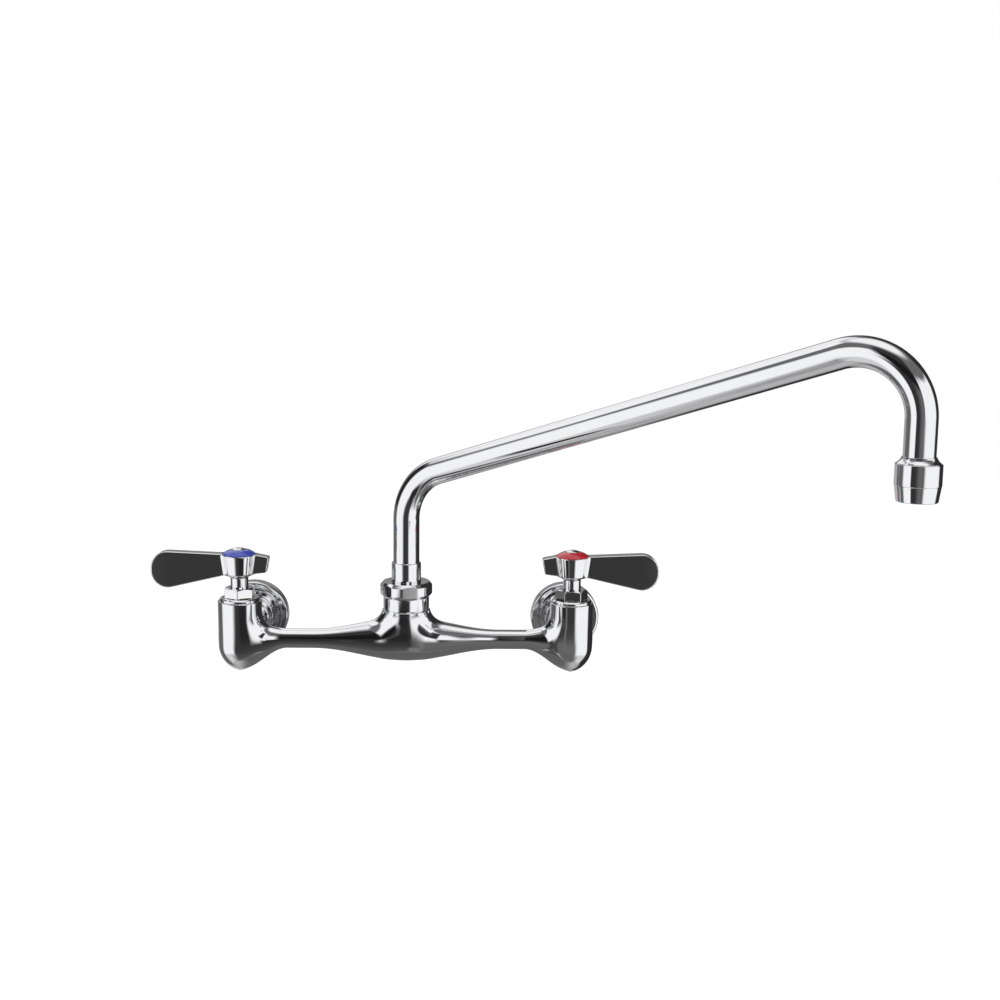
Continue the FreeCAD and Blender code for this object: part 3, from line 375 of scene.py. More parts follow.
def fieldMesh(field, low, high, pitch):
    # Meshes the surface where the field is zero: one point in each cell that it crosses
    m = meshing
    axes = [np.arange(a, b + pitch, pitch) for a, b in zip(low, high)]
    grid = np.meshgrid(*axes, indexing="ij")
    values = field(*grid)
    inside = values < 0
    cells = tuple(size - 1 for size in inside.shape)
    count = np.zeros(cells, np.int8)
    total = np.zeros(cells + (3,))
    crossings = np.zeros(cells)
    for corner in np.ndindex(2, 2, 2):
        part = tuple(slice(bit, bit + size) for bit, size in zip(corner, cells))
        count += inside[part]
        for axis in range(3):
            if corner[axis]:
                continue
            far = list(corner)
            far[axis] = 1
            farPart = tuple(slice(bit, bit + size) for bit, size in zip(far, cells))
            crossed = inside[part] != inside[farPart]
            gap = values[part] - values[farPart]
            share = np.where(crossed, values[part] / np.where(crossed, gap, 1), 0)
            for place in range(3):
                base = corner[place] + (share if place == axis else 0)
                total[..., place] += np.where(crossed, base, 0)
            crossings += crossed
    used = (count > 0) & (count < 8)
    number = np.full(cells, -1)
    number[used] = np.arange(used.sum())
    starts = np.stack([axis[:-1][index] for axis, index in zip(axes, np.nonzero(used))], 1)
    points = starts + total[used] / crossings[used][:, None] * pitch
    faces = []
    for axis in range(3):
        across, along = [(1, 2), (2, 0), (0, 1)][axis]
        nearPart = [slice(None)] * 3
        farPart = [slice(None)] * 3
        nearPart[axis], farPart[axis] = slice(None, -1), slice(1, None)
        entering = inside[tuple(nearPart)] & ~inside[tuple(farPart)]
        leaving = ~inside[tuple(nearPart)] & inside[tuple(farPart)]
        for crossed, order in ((entering, 1), (leaving, -1)):
            spots = np.stack(np.nonzero(crossed), 1)
            spots = spots[(spots[:, across] > 0) & (spots[:, along] > 0)]
            keep = (spots[:, across] < cells[across]) & (spots[:, along] < cells[along])
            spots = spots[keep]
            quad = []
            for back, down in ((1, 1), (0, 1), (0, 0), (1, 0))[::order]:
                moved = spots.copy()
                moved[:, across] -= back
                moved[:, along] -= down
                quad.append(number[tuple(moved.T)])
            faces.append(np.stack(quad, 1))
    faces = np.concatenate(faces)
    for lap in range(m["laps"] + 1):
        if lap:
            sums = np.zeros_like(points)
            ties = np.zeros(len(points))
            for step in range(4):
                np.add.at(sums, faces[:, step], points[faces[:, (step + 1) % 4]])
                np.add.at(ties, faces[:, step], 1)
            points = points * m["keep"] + sums / np.maximum(ties, 1)[:, None] * m["draw"]
        for pull in range(m["pulls"]):
            slope = slopeOf(field, points)
            steep = np.maximum((slope * slope).sum(1), m["leastSlope"])
            move = slope * (field(*points.T) / steep)[:, None]
            reach = np.linalg.norm(move, axis=1, keepdims=True)
            points = points - move * np.minimum(1, pitch * m["longestPull"] / np.maximum(reach, 1e-9))
    normals = slopeOf(field, points)
    normals /= np.maximum(np.linalg.norm(normals, axis=1, keepdims=True), 1e-9)
    return points, normals, faces.tolist()


# Casting: spindle arms, middle boss, two pointed valve housings and two inlet bosses

casting = {
    "hubRadius": 13.4, "waistRadius": 6.0, "waistReach": 57.0, "armDrop": 1.2,
    "rootReach": 29.0, "rootRise": 6.0, "keelDepth": 13.6, "keelShare": 0.72,
    "hubDepth": 0.86,         # depth of the arms at the hub, as a share of their radius there
    "bossRadius": 13.8, "bossFootRadius": 12.4, "bossTop": 18.0, "bossFoot": -1.2, "bossRound": 6.5,
    "housingRadius": 13.4, "housingDraft": 0.3, "housingTop": 20.5, "rimFoot": 13.0, "rimTop": 22.6,
    "ogiveDrop": 5.0, "ogiveRadius": 17.0,
    "inletRadius": 11.5, "inletReach": 20.0,
    "socketRadius": 9.3, "socketLevel": 5.0, "chamberRadius": 9.2, "chamberFloor": -5.0,
    "threadRadius": 8.0, "threadReach": 11.0,
    "frontFillet": 8.0, "flareFillet": 11.0, "flareFrom": 4.0, "flareFull": 15.0,
    "inletFillet": 3.0, "keelFillet": 6.0, "keelFilletEnd": 0.5, "keelFilletFoot": -19.0,
    "keelFilletTop": -7.0,
    "rimGap": 0.02,           # the barrel stands back this much behind each turned rim
    "low": (-117, -16, -26), "high": (117, 21.5, 22), "pitch": 0.7,
}


def armField(x, y, z):
    c = casting
    across = np.abs(x)
    swell = (1 + np.cos(math.pi * np.clip(across / c["waistReach"], 0, 1))) / 2
    radius = c["waistRadius"] + (c["hubRadius"] - c["waistRadius"]) * swell
    top = radius - c["armDrop"]
    bottom = -(radius + c["armDrop"])
    fromAxis = np.abs(layout["valveReach"] - across)
    sweep = (1 + np.cos(math.pi * np.clip(fromAxis / c["rootReach"], 0, 1))) / 2
    radius = radius * (1 - (1 - c["hubDepth"]) * swell)
    radius = radius + (c["housingRadius"] * c["keelShare"] - c["waistRadius"]) * sweep
    top = top + c["rootRise"] * sweep
    bottom = bottom - c["keelDepth"] * sweep
    height = (top - bottom) / 2
    middle = (top + bottom) / 2
    beyond = np.maximum(across - layout["valveReach"], 0)
    ratio = np.sqrt((np.hypot(y, beyond) / radius) ** 2 + ((z - middle) / height) ** 2)
    return (ratio - 1) * np.minimum(radius, height)


def housingField(x, y, z):
    c = casting
    fromAxis = np.hypot(np.abs(x) - layout["valveReach"], y)
    foot = c["housingRadius"] - c["housingDraft"]
    centre = c["ogiveRadius"] - foot
    ogive = np.hypot(fromAxis + centre, z + c["ogiveDrop"]) - c["ogiveRadius"]
    rise = (z + c["ogiveDrop"]) / (c["rimTop"] + c["ogiveDrop"])
    barrel = fromAxis - (foot + c["housingDraft"] * rise)
    barrel = barrel + np.where(z > c["rimFoot"], c["rimGap"], 0)
    side = np.where(z < -c["ogiveDrop"], ogive, barrel)
    return np.maximum(side, z - c["housingTop"])


def bossField(x, y, z):
    # A tapered boss that ends in half an ellipsoid inside the hub
    c = casting
    fromAxis = np.hypot(x, y)
    share = np.clip((z - c["bossFoot"]) / (c["bossTop"] - c["bossFoot"]), 0, 1)
    boss = fromAxis - (c["bossFootRadius"] + (c["bossRadius"] - c["bossFootRadius"]) * share)
    wide, deep, below = c["bossFootRadius"], c["bossRound"], z - c["bossFoot"]
    ratio = np.hypot(fromAxis / wide, below / deep)
    steep = np.maximum(np.hypot(fromAxis / wide ** 2, below / deep ** 2), 1e-6)
    return np.where(below < 0, ratio * (ratio - 1) / steep, boss)


def castingField(x, y, z):
    c = casting
    flare = softStep(np.abs(x), c["flareFrom"], c["flareFull"])
    body = smoothUnion(armField(x, y, z), bossField(x, y, z),
                       c["frontFillet"] + (c["flareFillet"] - c["frontFillet"]) * flare)
    fromValve = np.abs(x) - layout["valveReach"]
    inlet = np.maximum(np.hypot(fromValve, z) - c["inletRadius"], np.maximum(y - c["inletReach"], -y))
    keel = c["keelFilletEnd"] + c["keelFillet"] * softStep(z, c["keelFilletFoot"], c["keelFilletTop"])
    body = smoothUnion(body, housingField(x, y, z), keel)
    body = smoothUnion(body, inlet, c["inletFillet"])
    # Flat ends of the boss, the inlets and the housings, then the bores
    inMiddle = np.abs(x) < layout["valveReach"] / 2
    body = np.maximum(body, np.where(inMiddle, z - c["bossTop"], -np.inf))
    body = np.maximum(body, y - c["inletReach"])
    body = np.maximum(body, z - c["housingTop"])
    body = np.maximum(body, -np.maximum(np.hypot(x, y) - c["socketRadius"], c["socketLevel"] - z))
    chamber = np.maximum(np.hypot(fromValve, y) - c["chamberRadius"], c["chamberFloor"] - z)
    thread = np.maximum(np.hypot(fromValve, z) - c["threadRadius"], c["threadReach"] - y)
    return np.maximum(body, -np.minimum(chamber, thread))


def makeCasting():
    points, normals, faces = fieldMesh(castingField, casting["low"], casting["high"],
                                       casting["pitch"])
    newPiece("casting", "faucet_body", "chromed_brass", ["mixing_body"], points, normals, faces,
             valveSpot(0))
    print("casting:", len(faces), "faces")


castingRims = {
    "bandRadius": 14.0, "bandBottom": 16.0, "bandDraft": 0.1, "bandFoot": 18.6, "bandTop": 26.0,
    "groove": 0.5, "grooveLip": 0.02, "threadRadius": 11.4, "threadTop": 30.4, "bore": 9.1,
    "rimRadius": casting["housingRadius"], "rimFootRadius": 13.29, "rimFoot": casting["rimFoot"],
    "rimTop": casting["rimTop"], "rimRound": 0.6, "chamber": 9.05,
}


def makeCastingRims():
    c = castingRims
    newPiece("boss_band", "faucet_body", "chromed_brass", ["mixing_body"], *latheMesh([
        (c["bore"], c["bandBottom"]), (c["bandRadius"] - c["bandDraft"], c["bandBottom"]),
        (c["bandRadius"] - c["grooveLip"], c["bandFoot"] - c["groove"] * 2, 0.15),
        (c["bandRadius"] - c["groove"], c["bandFoot"] - c["groove"], 0.2),
        (c["bandRadius"], c["bandFoot"], 0.25), (c["bandRadius"], c["bandTop"], 0.3),
        (c["threadRadius"], c["bandTop"]), (c["threadRadius"], c["threadTop"], 0.2),
        (c["bore"], c["threadTop"])]), valveSpot(0))
    rim = latheMesh([
        (c["chamber"], c["rimFoot"]), (c["rimFootRadius"], c["rimFoot"], 0.02),
        (c["rimRadius"], c["rimTop"], c["rimRound"]), (c["chamber"], c["rimTop"], 0.15)])
    for side, across in layout["sides"]:
        newPiece(f"{side}_housing_rim", "faucet_body", "chromed_brass", ["mixing_body"], *rim,
                 valveSpot(across))


# Wall side: a necked inlet and a dished flange on each valve

inlets = {
    "neck": 9.8, "shoulder": 42.0, "thread": 7.9, "threadEnd": 51.5, "bore": 5.6, "supply": 10.4,
    "supplyDepth": 10.5, "hub": 13.0, "hubTop": 12.5,
    "flange": 22.2, "flangeTop": 9.5, "flangeGap": 0.1, "rimRound": 1.6, "dish": 18.2, "dishDepth": 1.9,
}


def makeInlets():
    c = inlets
    neck = latheMesh([
        (c["supply"], 0, 0.3), (c["hub"], 0, 0.2), (c["hub"], c["hubTop"], 0.7),
        (c["neck"], c["hubTop"], 0.8), (c["neck"], c["shoulder"], 0.3),
        (c["thread"], c["shoulder"]), (c["thread"], c["threadEnd"], 0.4),
        (c["bore"], c["threadEnd"], 0.3), (c["bore"], c["supplyDepth"], 0.2),
        (c["supply"], c["supplyDepth"], 0.2)])
    inside, face = c["hub"] + c["flangeGap"], c["flangeTop"] - c["dishDepth"]
    flange = latheMesh([
        (inside, 0), (c["flange"], 0, 0.4), (c["flange"], c["flangeTop"], c["rimRound"]),
        (c["dish"], c["flangeTop"], 0.5), (c["dish"] - c["dishDepth"], face, 0.6), (inside, face, 0.2)])
    for side, across in layout["sides"]:
        spot = turnSpot(Matrix.Translation((across * layout["valveReach"], 0, 0)), 90, "X")
        newPiece(f"{side}_inlet_neck", "faucet_body", "chromed_brass", [f"{side}_wall_inlet"], *neck,
                 spot)
        newPiece(f"{side}_flange", "faucet_body", "chromed_brass", [f"{side}_wall_flange"], *flange,
                 spot)


# Valves: ring, hexagon bonnet with its nose, and the skirt inside the housing

valves = {
    "ringRadius": 12.15, "ringFoot": casting["rimTop"], "ringTop": 24.6, "ringEdge": 0.8,
    "barrel": 8.9,
    "across": 17.0, "corner": 9.7, "hexTop": 30.8, "hexChamfer": 0.6, "slope": 0.6,
    "hexBoreGap": 0.3, "nose": 5.4, "noseDepth": 1.0, "noseTop": 36.95, "stemBore": 4.1,
    "hexTurn": {"left": 0, "right": 30},
    "skirtBore": 6.75, "skirtFoot": -3.0, "skirtNeck": 7.9, "skirtShoulder": 10.0, "skirtFull": 11.0,
    "skirtRadius": 8.85, "skirtTop": 23.4,
}


def makeValves():
    c = valves
    ring = latheMesh([
        (c["barrel"], c["ringFoot"]), (c["ringRadius"], c["ringFoot"], 0.15),
        (c["ringRadius"], c["ringTop"] - c["ringEdge"], 0.3),
        (c["ringRadius"] - c["ringEdge"], c["ringTop"], 0.3), (c["barrel"], c["ringTop"])])
    hexagon = hexMesh(c["across"], c["corner"], c["ringTop"], c["hexTop"],
                      c["nose"] - c["hexBoreGap"], c["hexChamfer"], c["slope"], footChamfer=False)
    noseFoot = c["hexTop"] - c["noseDepth"]
    nose = latheMesh([
        (c["stemBore"], noseFoot), (c["nose"], noseFoot), (c["nose"], c["noseTop"], 0.4),
        (c["stemBore"], c["noseTop"])])
    skirt = latheMesh([
        (c["skirtBore"], c["skirtFoot"]), (c["skirtNeck"], c["skirtFoot"]),
        (c["skirtNeck"], c["skirtShoulder"]), (c["skirtRadius"], c["skirtFull"]),
        (c["skirtRadius"], c["skirtTop"]), (c["skirtBore"], c["skirtTop"])])
    for side, across in layout["sides"]:
        spot = valveSpot(across)
        bonnet = [f"{side}_bonnet"]
        newPiece(f"{side}_ring", "faucet_body", "chromed_brass", [f"{side}_bonnet_ring"], *ring, spot)
        newPiece(f"{side}_bonnet_hexagon", "faucet_body", "chromed_brass", bonnet, *hexagon,
                 turnSpot(spot, c["hexTurn"][side]))
        newPiece(f"{side}_bonnet_nose", "faucet_body", "chromed_brass", bonnet, *nose, spot)
        newPiece(f"{side}_bonnet_skirt", "faucet_body", "bare_brass", bonnet, *skirt, spot)


# Handles: a deep flat blade and a stub on a tapered hub, with a coloured cap and its screw
# Both are drawn for the right valve, and turned half round for the left one

handles = {
    "hubTop": 51.0, "hubTopRadius": 10.2, "waist": 39.0, "waistRadius": 8.7, "foot": 37.2,
    "footRadius": 5.9, "thickness": 8.0, "edge": 0.8, "fillet": 1.6, "bore": 3.5, "boreTop": 46.1,
    "recess": 8.1, "recessFloor": 49.7, "screwBore": 2.0,
    # Smooth reach of the hub's waist, of its two ends and of where they meet
    "waistBlend": 0.5, "endBlend": 0.3, "hubBlend": 0.4, "footShare": 0.6,
    "low": (-20, -11.5, 26.5), "high": (54.5, 11.5, 55), "pitch": 0.36,
    # Corners of the blade and the stub: across, level and rounding
    "outline": [(-18.5, 49.8, 1.2), (-16.9, 40.4, 1.2), (0, 38.0, 0), (9.0, 38.4, 1.0),
                (53.0, 28.1, 10.2), (53.0, 53.5, 10.2), (9.0, 51.6, 1.0), (0, 51.0, 0),
                (-9.0, 51.6, 1.0)],
}


def outlineField(outline, x, z):
    # Signed distance to a closed outline walked with the solid on its left
    nearest = np.full(np.broadcast(x, z).shape, 1e9)
    crossings = np.zeros(nearest.shape, bool)
    for first, second in zip(outline, np.roll(outline, -1, 0)):
        along = second - first
        right, up = x - first[0], z - first[1]
        share = np.clip((right * along[0] + up * along[1]) / (along @ along), 0, 1)
        away = np.hypot(right - along[0] * share, up - along[1] * share)
        nearest = np.minimum(nearest, away)
        spans = (first[1] > z) != (second[1] > z)
        rise = along[1] if abs(along[1]) > 1e-9 else 1e-9
        crossings ^= spans & (x < first[0] + along[0] * up / rise)
    return np.where(crossings, -nearest, nearest)


def leverField(x, y, z):
    c = handles
    flat = outlineField(bladeOutline, x, z) + c["edge"]
    deep = np.abs(y) - c["thickness"] / 2 + c["edge"]
    blade = np.minimum(np.maximum(flat, deep), 0) + np.hypot(np.maximum(flat, 0),
                                                            np.maximum(deep, 0)) - c["edge"]
    fromAxis = np.hypot(x, y)
    rise = (z - c["waist"]) / (c["hubTop"] - c["waist"])
    cone = fromAxis - (c["waistRadius"] + (c["hubTopRadius"] - c["waistRadius"]) * rise)
    drop = (c["waist"] - z) / (c["waist"] - c["foot"])
    foot = fromAxis - (c["waistRadius"] - (c["waistRadius"] - c["footRadius"]) * drop)
    turned = smoothMax(cone, foot * c["footShare"], c["waistBlend"])
    ends = smoothMax(z - c["hubTop"], c["foot"] - z, c["endBlend"])
    hub = smoothMax(turned, ends, c["hubBlend"])
    body = smoothUnion(blade, hub, c["fillet"])
    over = np.maximum(fromAxis - c["hubTopRadius"], c["hubTop"] - z)
    bore = np.maximum(fromAxis - c["bore"], z - c["boreTop"])
    recess = np.maximum(fromAxis - c["recess"], c["recessFloor"] - z)
    holes = np.minimum(np.minimum(over, bore), np.minimum(recess, fromAxis - c["screwBore"]))
    return np.maximum(body, -holes)


bladeOutline = roundedOutline(handles["outline"], meshing["bladeSteps"])[:, :2]

caps = {
    "radius": 10.1, "foot": handles["hubTop"], "rim": 0.4, "crown": 54.1, "crownRadius": 4.9,
    "domeRadius": 10.0, "spigot": 8.0, "spigotFoot": 49.8, "bore": handles["screwBore"],
    "head": 4.4, "headRise": 1.3, "shank": 1.9, "shankFoot": 41.1, "slot": 1.1, "slotLength": 4.8,
    "slotDepth": 0.7, "headBlend": 0.2, "slotBlend": 0.15, "overlap": 0.3, "domeSteps": 7,
    "low": (-4.8, -4.8, 40.6), "high": (4.8, 4.8, 55.9), "pitch": 0.2,
    "turn": {"left": 180, "right": 0}, "color": {"left": "cold_blue", "right": "hot_red"},
}


def arcCorners(low, high, radius, steps, rounding, hollow=False):
    # Corners on the shorter arc from low up to high, bulging away from the axis or hollow
    low, high = np.array(low, float), np.array(high, float)
    chord = high - low
    half = np.linalg.norm(chord) / 2
    toCentre = np.array([chord[1], -chord[0]] if hollow else [-chord[1], chord[0]]) / (2 * half)
    centre = (low + high) / 2 + toCentre * math.sqrt(radius ** 2 - half ** 2)
    angles = [math.atan2(*(spot - centre)[::-1]) for spot in (low, high)]
    if hollow:
        angles = [angle % (2 * math.pi) for angle in angles]
    return [(centre[0] + radius * math.cos(angle), centre[1] + radius * math.sin(angle), rounding)
            for angle in np.linspace(*angles, steps)]


def screwField(x, y, z):
    c = caps
    fromAxis = np.hypot(x, y)
    headRadius = (c["head"] ** 2 + c["headRise"] ** 2) / (2 * c["headRise"])
    top = c["crown"] + c["headRise"]
    dome = np.hypot(fromAxis, z - (top - headRadius)) - headRadius
    head = smoothMax(dome, c["crown"] - z, c["headBlend"])
    ends = np.maximum(c["shankFoot"] - z, z - c["crown"] - c["overlap"])
    shank = np.maximum(fromAxis - c["shank"], ends)
    wide, long = c["slot"] / 2, c["slotLength"] / 2
    arms = np.minimum(np.maximum(np.abs(x) - wide, np.abs(y) - long),
                      np.maximum(np.abs(y) - wide, np.abs(x) - long))
    cross = np.maximum(arms, top - c["slotDepth"] - z)
    return smoothMax(smoothUnion(head, shank, c["headBlend"]), -cross, c["slotBlend"])


def makeHandles():
    c = caps
    lever, screw = (fieldMesh(field, sizes["low"], sizes["high"], sizes["pitch"])
                    for field, sizes in ((leverField, handles), (screwField, caps)))
    cap = latheMesh([(c["bore"], c["spigotFoot"]), (c["spigot"], c["spigotFoot"]),
                     (c["spigot"], c["foot"], 0.05), (c["radius"], c["foot"], 0.15)]
                    + arcCorners((c["radius"], c["foot"] + c["rim"]), (c["crownRadius"], c["crown"]),
                                 c["domeRadius"], c["domeSteps"], 0.3)
                    + [(c["bore"], c["crown"])], steps=meshing["arcSteps"])
    for side, across in layout["sides"]:
        spot = turnSpot(valveSpot(across), c["turn"][side])
        body = f"{side}_handle"
        newPiece(f"{side}_lever_handle", body, "chromed_brass", [f"{side}_lever"], *lever, spot)
        newPiece(f"{side}_cap", body, c["color"][side], [f"{side}_index_cap"], *cap, spot)
        newPiece(f"{side}_cap_screw", body, "chromed_brass", [f"{side}_handle_screw"], *screw, spot)
    print("handles:", len(lever[2]), "faces each")


# Spout: sleeve, bent tube, swivel nut and outlet

spout = {
    "reach": 304.8, "slope": 17.9, "slopeLevel": 97.5, "tube": 8.0, "bore": 6.8,
    "lowerBend": 33.0, "upperBend": 32.0, "foot": 24.0, "mouth": 125.0, "sides": 96,
    "bendStep": 3.0, "runStep": 8.0,
    "sleeve": 9.0, "sleeveBore": 8.05, "sleeveNeck": 6.6, "sleeveTop": 47.0, "sleeveFoot": 6.0,
    "nutAcross": 30.2, "nutCorner": 15.9, "nutFoot": castingRims["bandTop"], "nutTop": 35.3,
    "nutBore": 9.15, "nutChamfer": 1.0, "nutSlope": 1.15, "nutTurn": 41.0,
}
spoutFrame = turnSpot(valveSpot(0), -layout["spoutSwing"])


def spoutPath():
    # Centre points and directions of the tube in its own upright plane
    c = spout
    slope = math.radians(c["slope"])
    rise = np.array([0.0, 1.0])
    along = np.array([math.cos(slope), math.sin(slope)])
    low = np.array([0, c["slopeLevel"]])
    high = low + along * c["reach"] / math.cos(slope)
    stops = [np.array([0, c["foot"]]), low, high, np.array([c["reach"], c["mouth"]])]
    points = []
    directions = []

    def run(first, last):
        length = np.linalg.norm(last - first)
        steps = max(2, round(length / c["runStep"]))
        for share in np.linspace(0, 1, steps, endpoint=False):
            points.append(first + (last - first) * share)
            directions.append((last - first) / length)

    here = stops[0]
    for corner, before, after, radius in ((low, rise, along, c["lowerBend"]),
                                          (high, along, -rise, c["upperBend"])):
        turn = math.atan2(before[0] * after[1] - before[1] * after[0], before @ after)
        start = corner - before * radius * math.tan(abs(turn) / 2)
        run(here, start)
        centre = start + np.array([before[1], -before[0]]) * radius
        steps = math.ceil(math.degrees(abs(turn)) / c["bendStep"])
        for step in range(steps):
            angle = turn * step / steps
            turned = np.array([before[0] * math.cos(angle) - before[1] * math.sin(angle),
                               before[0] * math.sin(angle) + before[1] * math.cos(angle)])
            points.append(centre - np.array([turned[1], -turned[0]]) * radius)
            directions.append(turned)
        here = corner + after * radius * math.tan(abs(turn) / 2)
    run(here, stops[3])
    points.append(stops[3])
    directions.append(-rise)
    return np.array(points), np.array(directions)


def makeTube():
    c = spout
    path, directions = spoutPath()
    angles = np.linspace(0, 2 * math.pi, c["sides"], endpoint=False)
    sideways = np.array([0, 1, 0])
    rings, normals = [], []
    outward = np.stack([-directions[:, 1], 0 * directions[:, 0], directions[:, 0]], 1)
    centres = np.stack([path[:, 0], 0 * path[:, 0], path[:, 1]], 1)
    for radius, sign, order in ((c["tube"], 1, 1), (c["bore"], -1, -1)):
        for centre, normal in list(zip(centres, outward))[::order]:
            ring = np.cos(angles)[:, None] * normal + np.sin(angles)[:, None] * sideways
            rings.append(centre + ring * radius)
            normals.append(ring * sign)
    faces = [face[::-1] for face in ringFaces(len(rings), c["sides"])]
    newPiece("spout_bent_tube", "spout", "chromed_brass", ["spout_tube"],
             np.array(rings).reshape(-1, 3), np.array(normals).reshape(-1, 3), faces, spoutFrame)
    print("tube:", len(faces), "faces")


def makeSpoutFoot():
    c = spout
    newPiece("riser_sleeve", "spout", "chromed_brass", ["spout_sleeve"], *latheMesh([
        (c["sleeveNeck"], c["sleeveFoot"]), (c["sleeve"], c["sleeveFoot"]),
        (c["sleeve"], c["sleeveTop"], 0.35), (c["sleeveBore"], c["sleeveTop"], 0.15),
        (c["sleeveBore"], c["foot"]), (c["sleeveNeck"], c["foot"])]), spoutFrame)
    newPiece("swivel_nut", "faucet_body", "chromed_brass", ["spout_nut"],
             *hexMesh(c["nutAcross"], c["nutCorner"], c["nutFoot"], c["nutTop"], c["nutBore"],
                      c["nutChamfer"], c["nutSlope"]), turnSpot(valveSpot(0), c["nutTurn"]))


outlet = {
    "tubeBore": 8.06, "nippleTop": 133.8, "lipWidth": 0.4, "flare": 11.0, "flareLevel": 130.6,
    "flareCurve": 6.0, "flareSteps": 6, "flareFoot": 0.5, "flareUnder": 0.1,
    "thread": 10.2, "threadFoot": 122.0, "inside": 7.2, "seat": spout["mouth"],
    "shell": 11.5, "shellTop": 130.4, "step": 119.6, "draft": 0.15, "mouth": 10.2, "mouthLevel": 111.6,
    "mouthBore": 8.2, "lip": 112.6, "chamber": 9.3, "chamberTop": 120.0, "stepHeight": 0.3,
    "shellGap": 0.1,          # between the collar's thread and the shell's bore
}


def makeOutlet():
    c = outlet
    spot = spoutFrame @ Matrix.Translation((spout["reach"], 0, 0))
    under = c["flare"] - c["flareUnder"]
    foot = c["flareLevel"] - c["flareFoot"]
    lip = c["tubeBore"] + c["lipWidth"]
    flare = arcCorners((c["flare"], c["flareLevel"]), (lip, c["nippleTop"]), c["flareCurve"],
                       c["flareSteps"], 0.15, hollow=True)
    newPiece("outlet_collar", "spout", "chromed_brass", ["outlet_nipple"], *latheMesh(
        [(c["inside"], c["threadFoot"]), (c["thread"], c["threadFoot"]), (c["thread"], foot),
         (under, foot + c["flareUnder"])] + flare
        + [(c["tubeBore"], c["nippleTop"]), (c["tubeBore"], c["seat"]), (c["inside"], c["seat"])],
        steps=meshing["arcSteps"]), spot)
    inside = c["thread"] + c["shellGap"]
    newPiece("outlet_shell", "spout", "chromed_brass", ["aerator_shell"], *latheMesh([
        (c["mouthBore"], c["mouthLevel"], 0.2), (c["mouth"], c["mouthLevel"], 0.4),
        (c["shell"] - c["draft"], c["step"], 0.2), (c["shell"], c["step"] + c["stepHeight"], 0.15),
        (c["shell"], c["shellTop"], 0.35), (inside, c["shellTop"], 0.15),
        (inside, c["chamberTop"]), (c["chamber"], c["chamberTop"]), (c["chamber"], c["lip"]),
        (c["mouthBore"], c["lip"], 0.2)]), spot)


makeCasting()
makeCastingRims()
makeInlets()
makeValves()
makeHandles()
makeTube()
makeSpoutFoot()
makeOutlet()
print("pieces made")


# Studio: soft boxes and dark gaps round a dim room, which only the chrome reflects

studio = {
    "ring": 0.15,     # shade of the room where no box or gap covers it
    "fill": 0.85,     # strength of the room's plain light
    "backdrop": 1.0,  # shade behind the object, for the camera alone
    # Boxes and gaps: azimuth from and to, elevation from and to, softness of both, shade
    # Azimuth 0 is the camera's side, and 90 the red handle's side
    "boxes": [
        (-400, 400, 63, 400, 10, 8, 1.0),
        (-400, 400, -400, -46, 10, 14, 0.36),
        (-92, 94, -46, -28, 5, 12, 0.7),
        (-96, -48, -68, -28, 8, 8, 0.7),
        (44, 96, -68, -28, 8, 8, 0.7),
        (-400, 400, -400, -72, 10, 6, 0.5),
        (-94, 96, -34, 29, 6, 5, 1.02),
        (20, 96, 20, 34, 8, 4, 1.0),
        (-400, -92, 37, 60, 5, 3, 1.0),
        (-400, -140, 17, 60, 5, 3, 0.95),
        (-400, -140, -60, -4, 6, 6, 0.5),
        (166, 400, -60, -4, 6, 6, 0.35),
        (-400, -138, 0, 17, 6, 3, 0.25),
        (166, 400, 0, 30, 6, 3, 0.25),
        (97, 166, -60, 50, 5, 6, 0.03),
        (-136, -104, -60, -3, 7, 4, 0.13),
        (-138, -98, -3, 32, 6, 3, 0.02),
        (-41, 4, -4, 54, 4, 5, 0.035),
        (-41, 4, -4, 32, 4, 5, 0.01),
    ],
}


def window(tree, value, low, high, soft):
    rise = ramp(tree, value, low - soft, low + soft)
    fall = ramp(tree, value, high - soft, high + soft, 1.0, 0.0)
    return calc(tree, "MULTIPLY", rise, fall)


def makeWorld():
    world = bpy.data.worlds.new("studio")
    bpy.context.scene.world = world
    world.use_nodes = True
    tree = world.node_tree
    tree.nodes.clear()
    place = addNode(tree, "ShaderNodeTexCoord")
    parts = addNode(tree, "ShaderNodeSeparateXYZ")
    tree.links.new(place.outputs["Generated"], parts.inputs[0])
    azimuth = calc(tree, "DEGREES", calc(tree, "ARCTAN2", parts.outputs["X"],
                                         calc(tree, "MULTIPLY", parts.outputs["Y"], -1.0)))
    elevation = calc(tree, "DEGREES", calc(tree, "ARCSINE", parts.outputs["Z"]))
    shade = studio["ring"]
    for left, right, low, high, softAcross, softUp, amount in studio["boxes"]:
        cover = calc(tree, "MULTIPLY", window(tree, azimuth, left, right, softAcross),
                     window(tree, elevation, low, high, softUp))
        shade = mixShade(tree, cover, shade, amount)
    path = addNode(tree, "ShaderNodeLightPath")
    seen = mixShade(tree, path.outputs["Is Glossy Ray"], studio["fill"], shade)
    straight = calc(tree, "MAXIMUM", path.outputs["Is Camera Ray"], path.outputs["Is Transmission Ray"])
    light = addNode(tree, "ShaderNodeBackground")
    light.inputs["Color"].default_value = (1, 1, 1, 1)
    tree.links.new(mixShade(tree, straight, seen, studio["backdrop"]), light.inputs["Strength"])
    output = addNode(tree, "ShaderNodeOutputWorld")
    tree.links.new(light.outputs[0], output.inputs["Surface"])


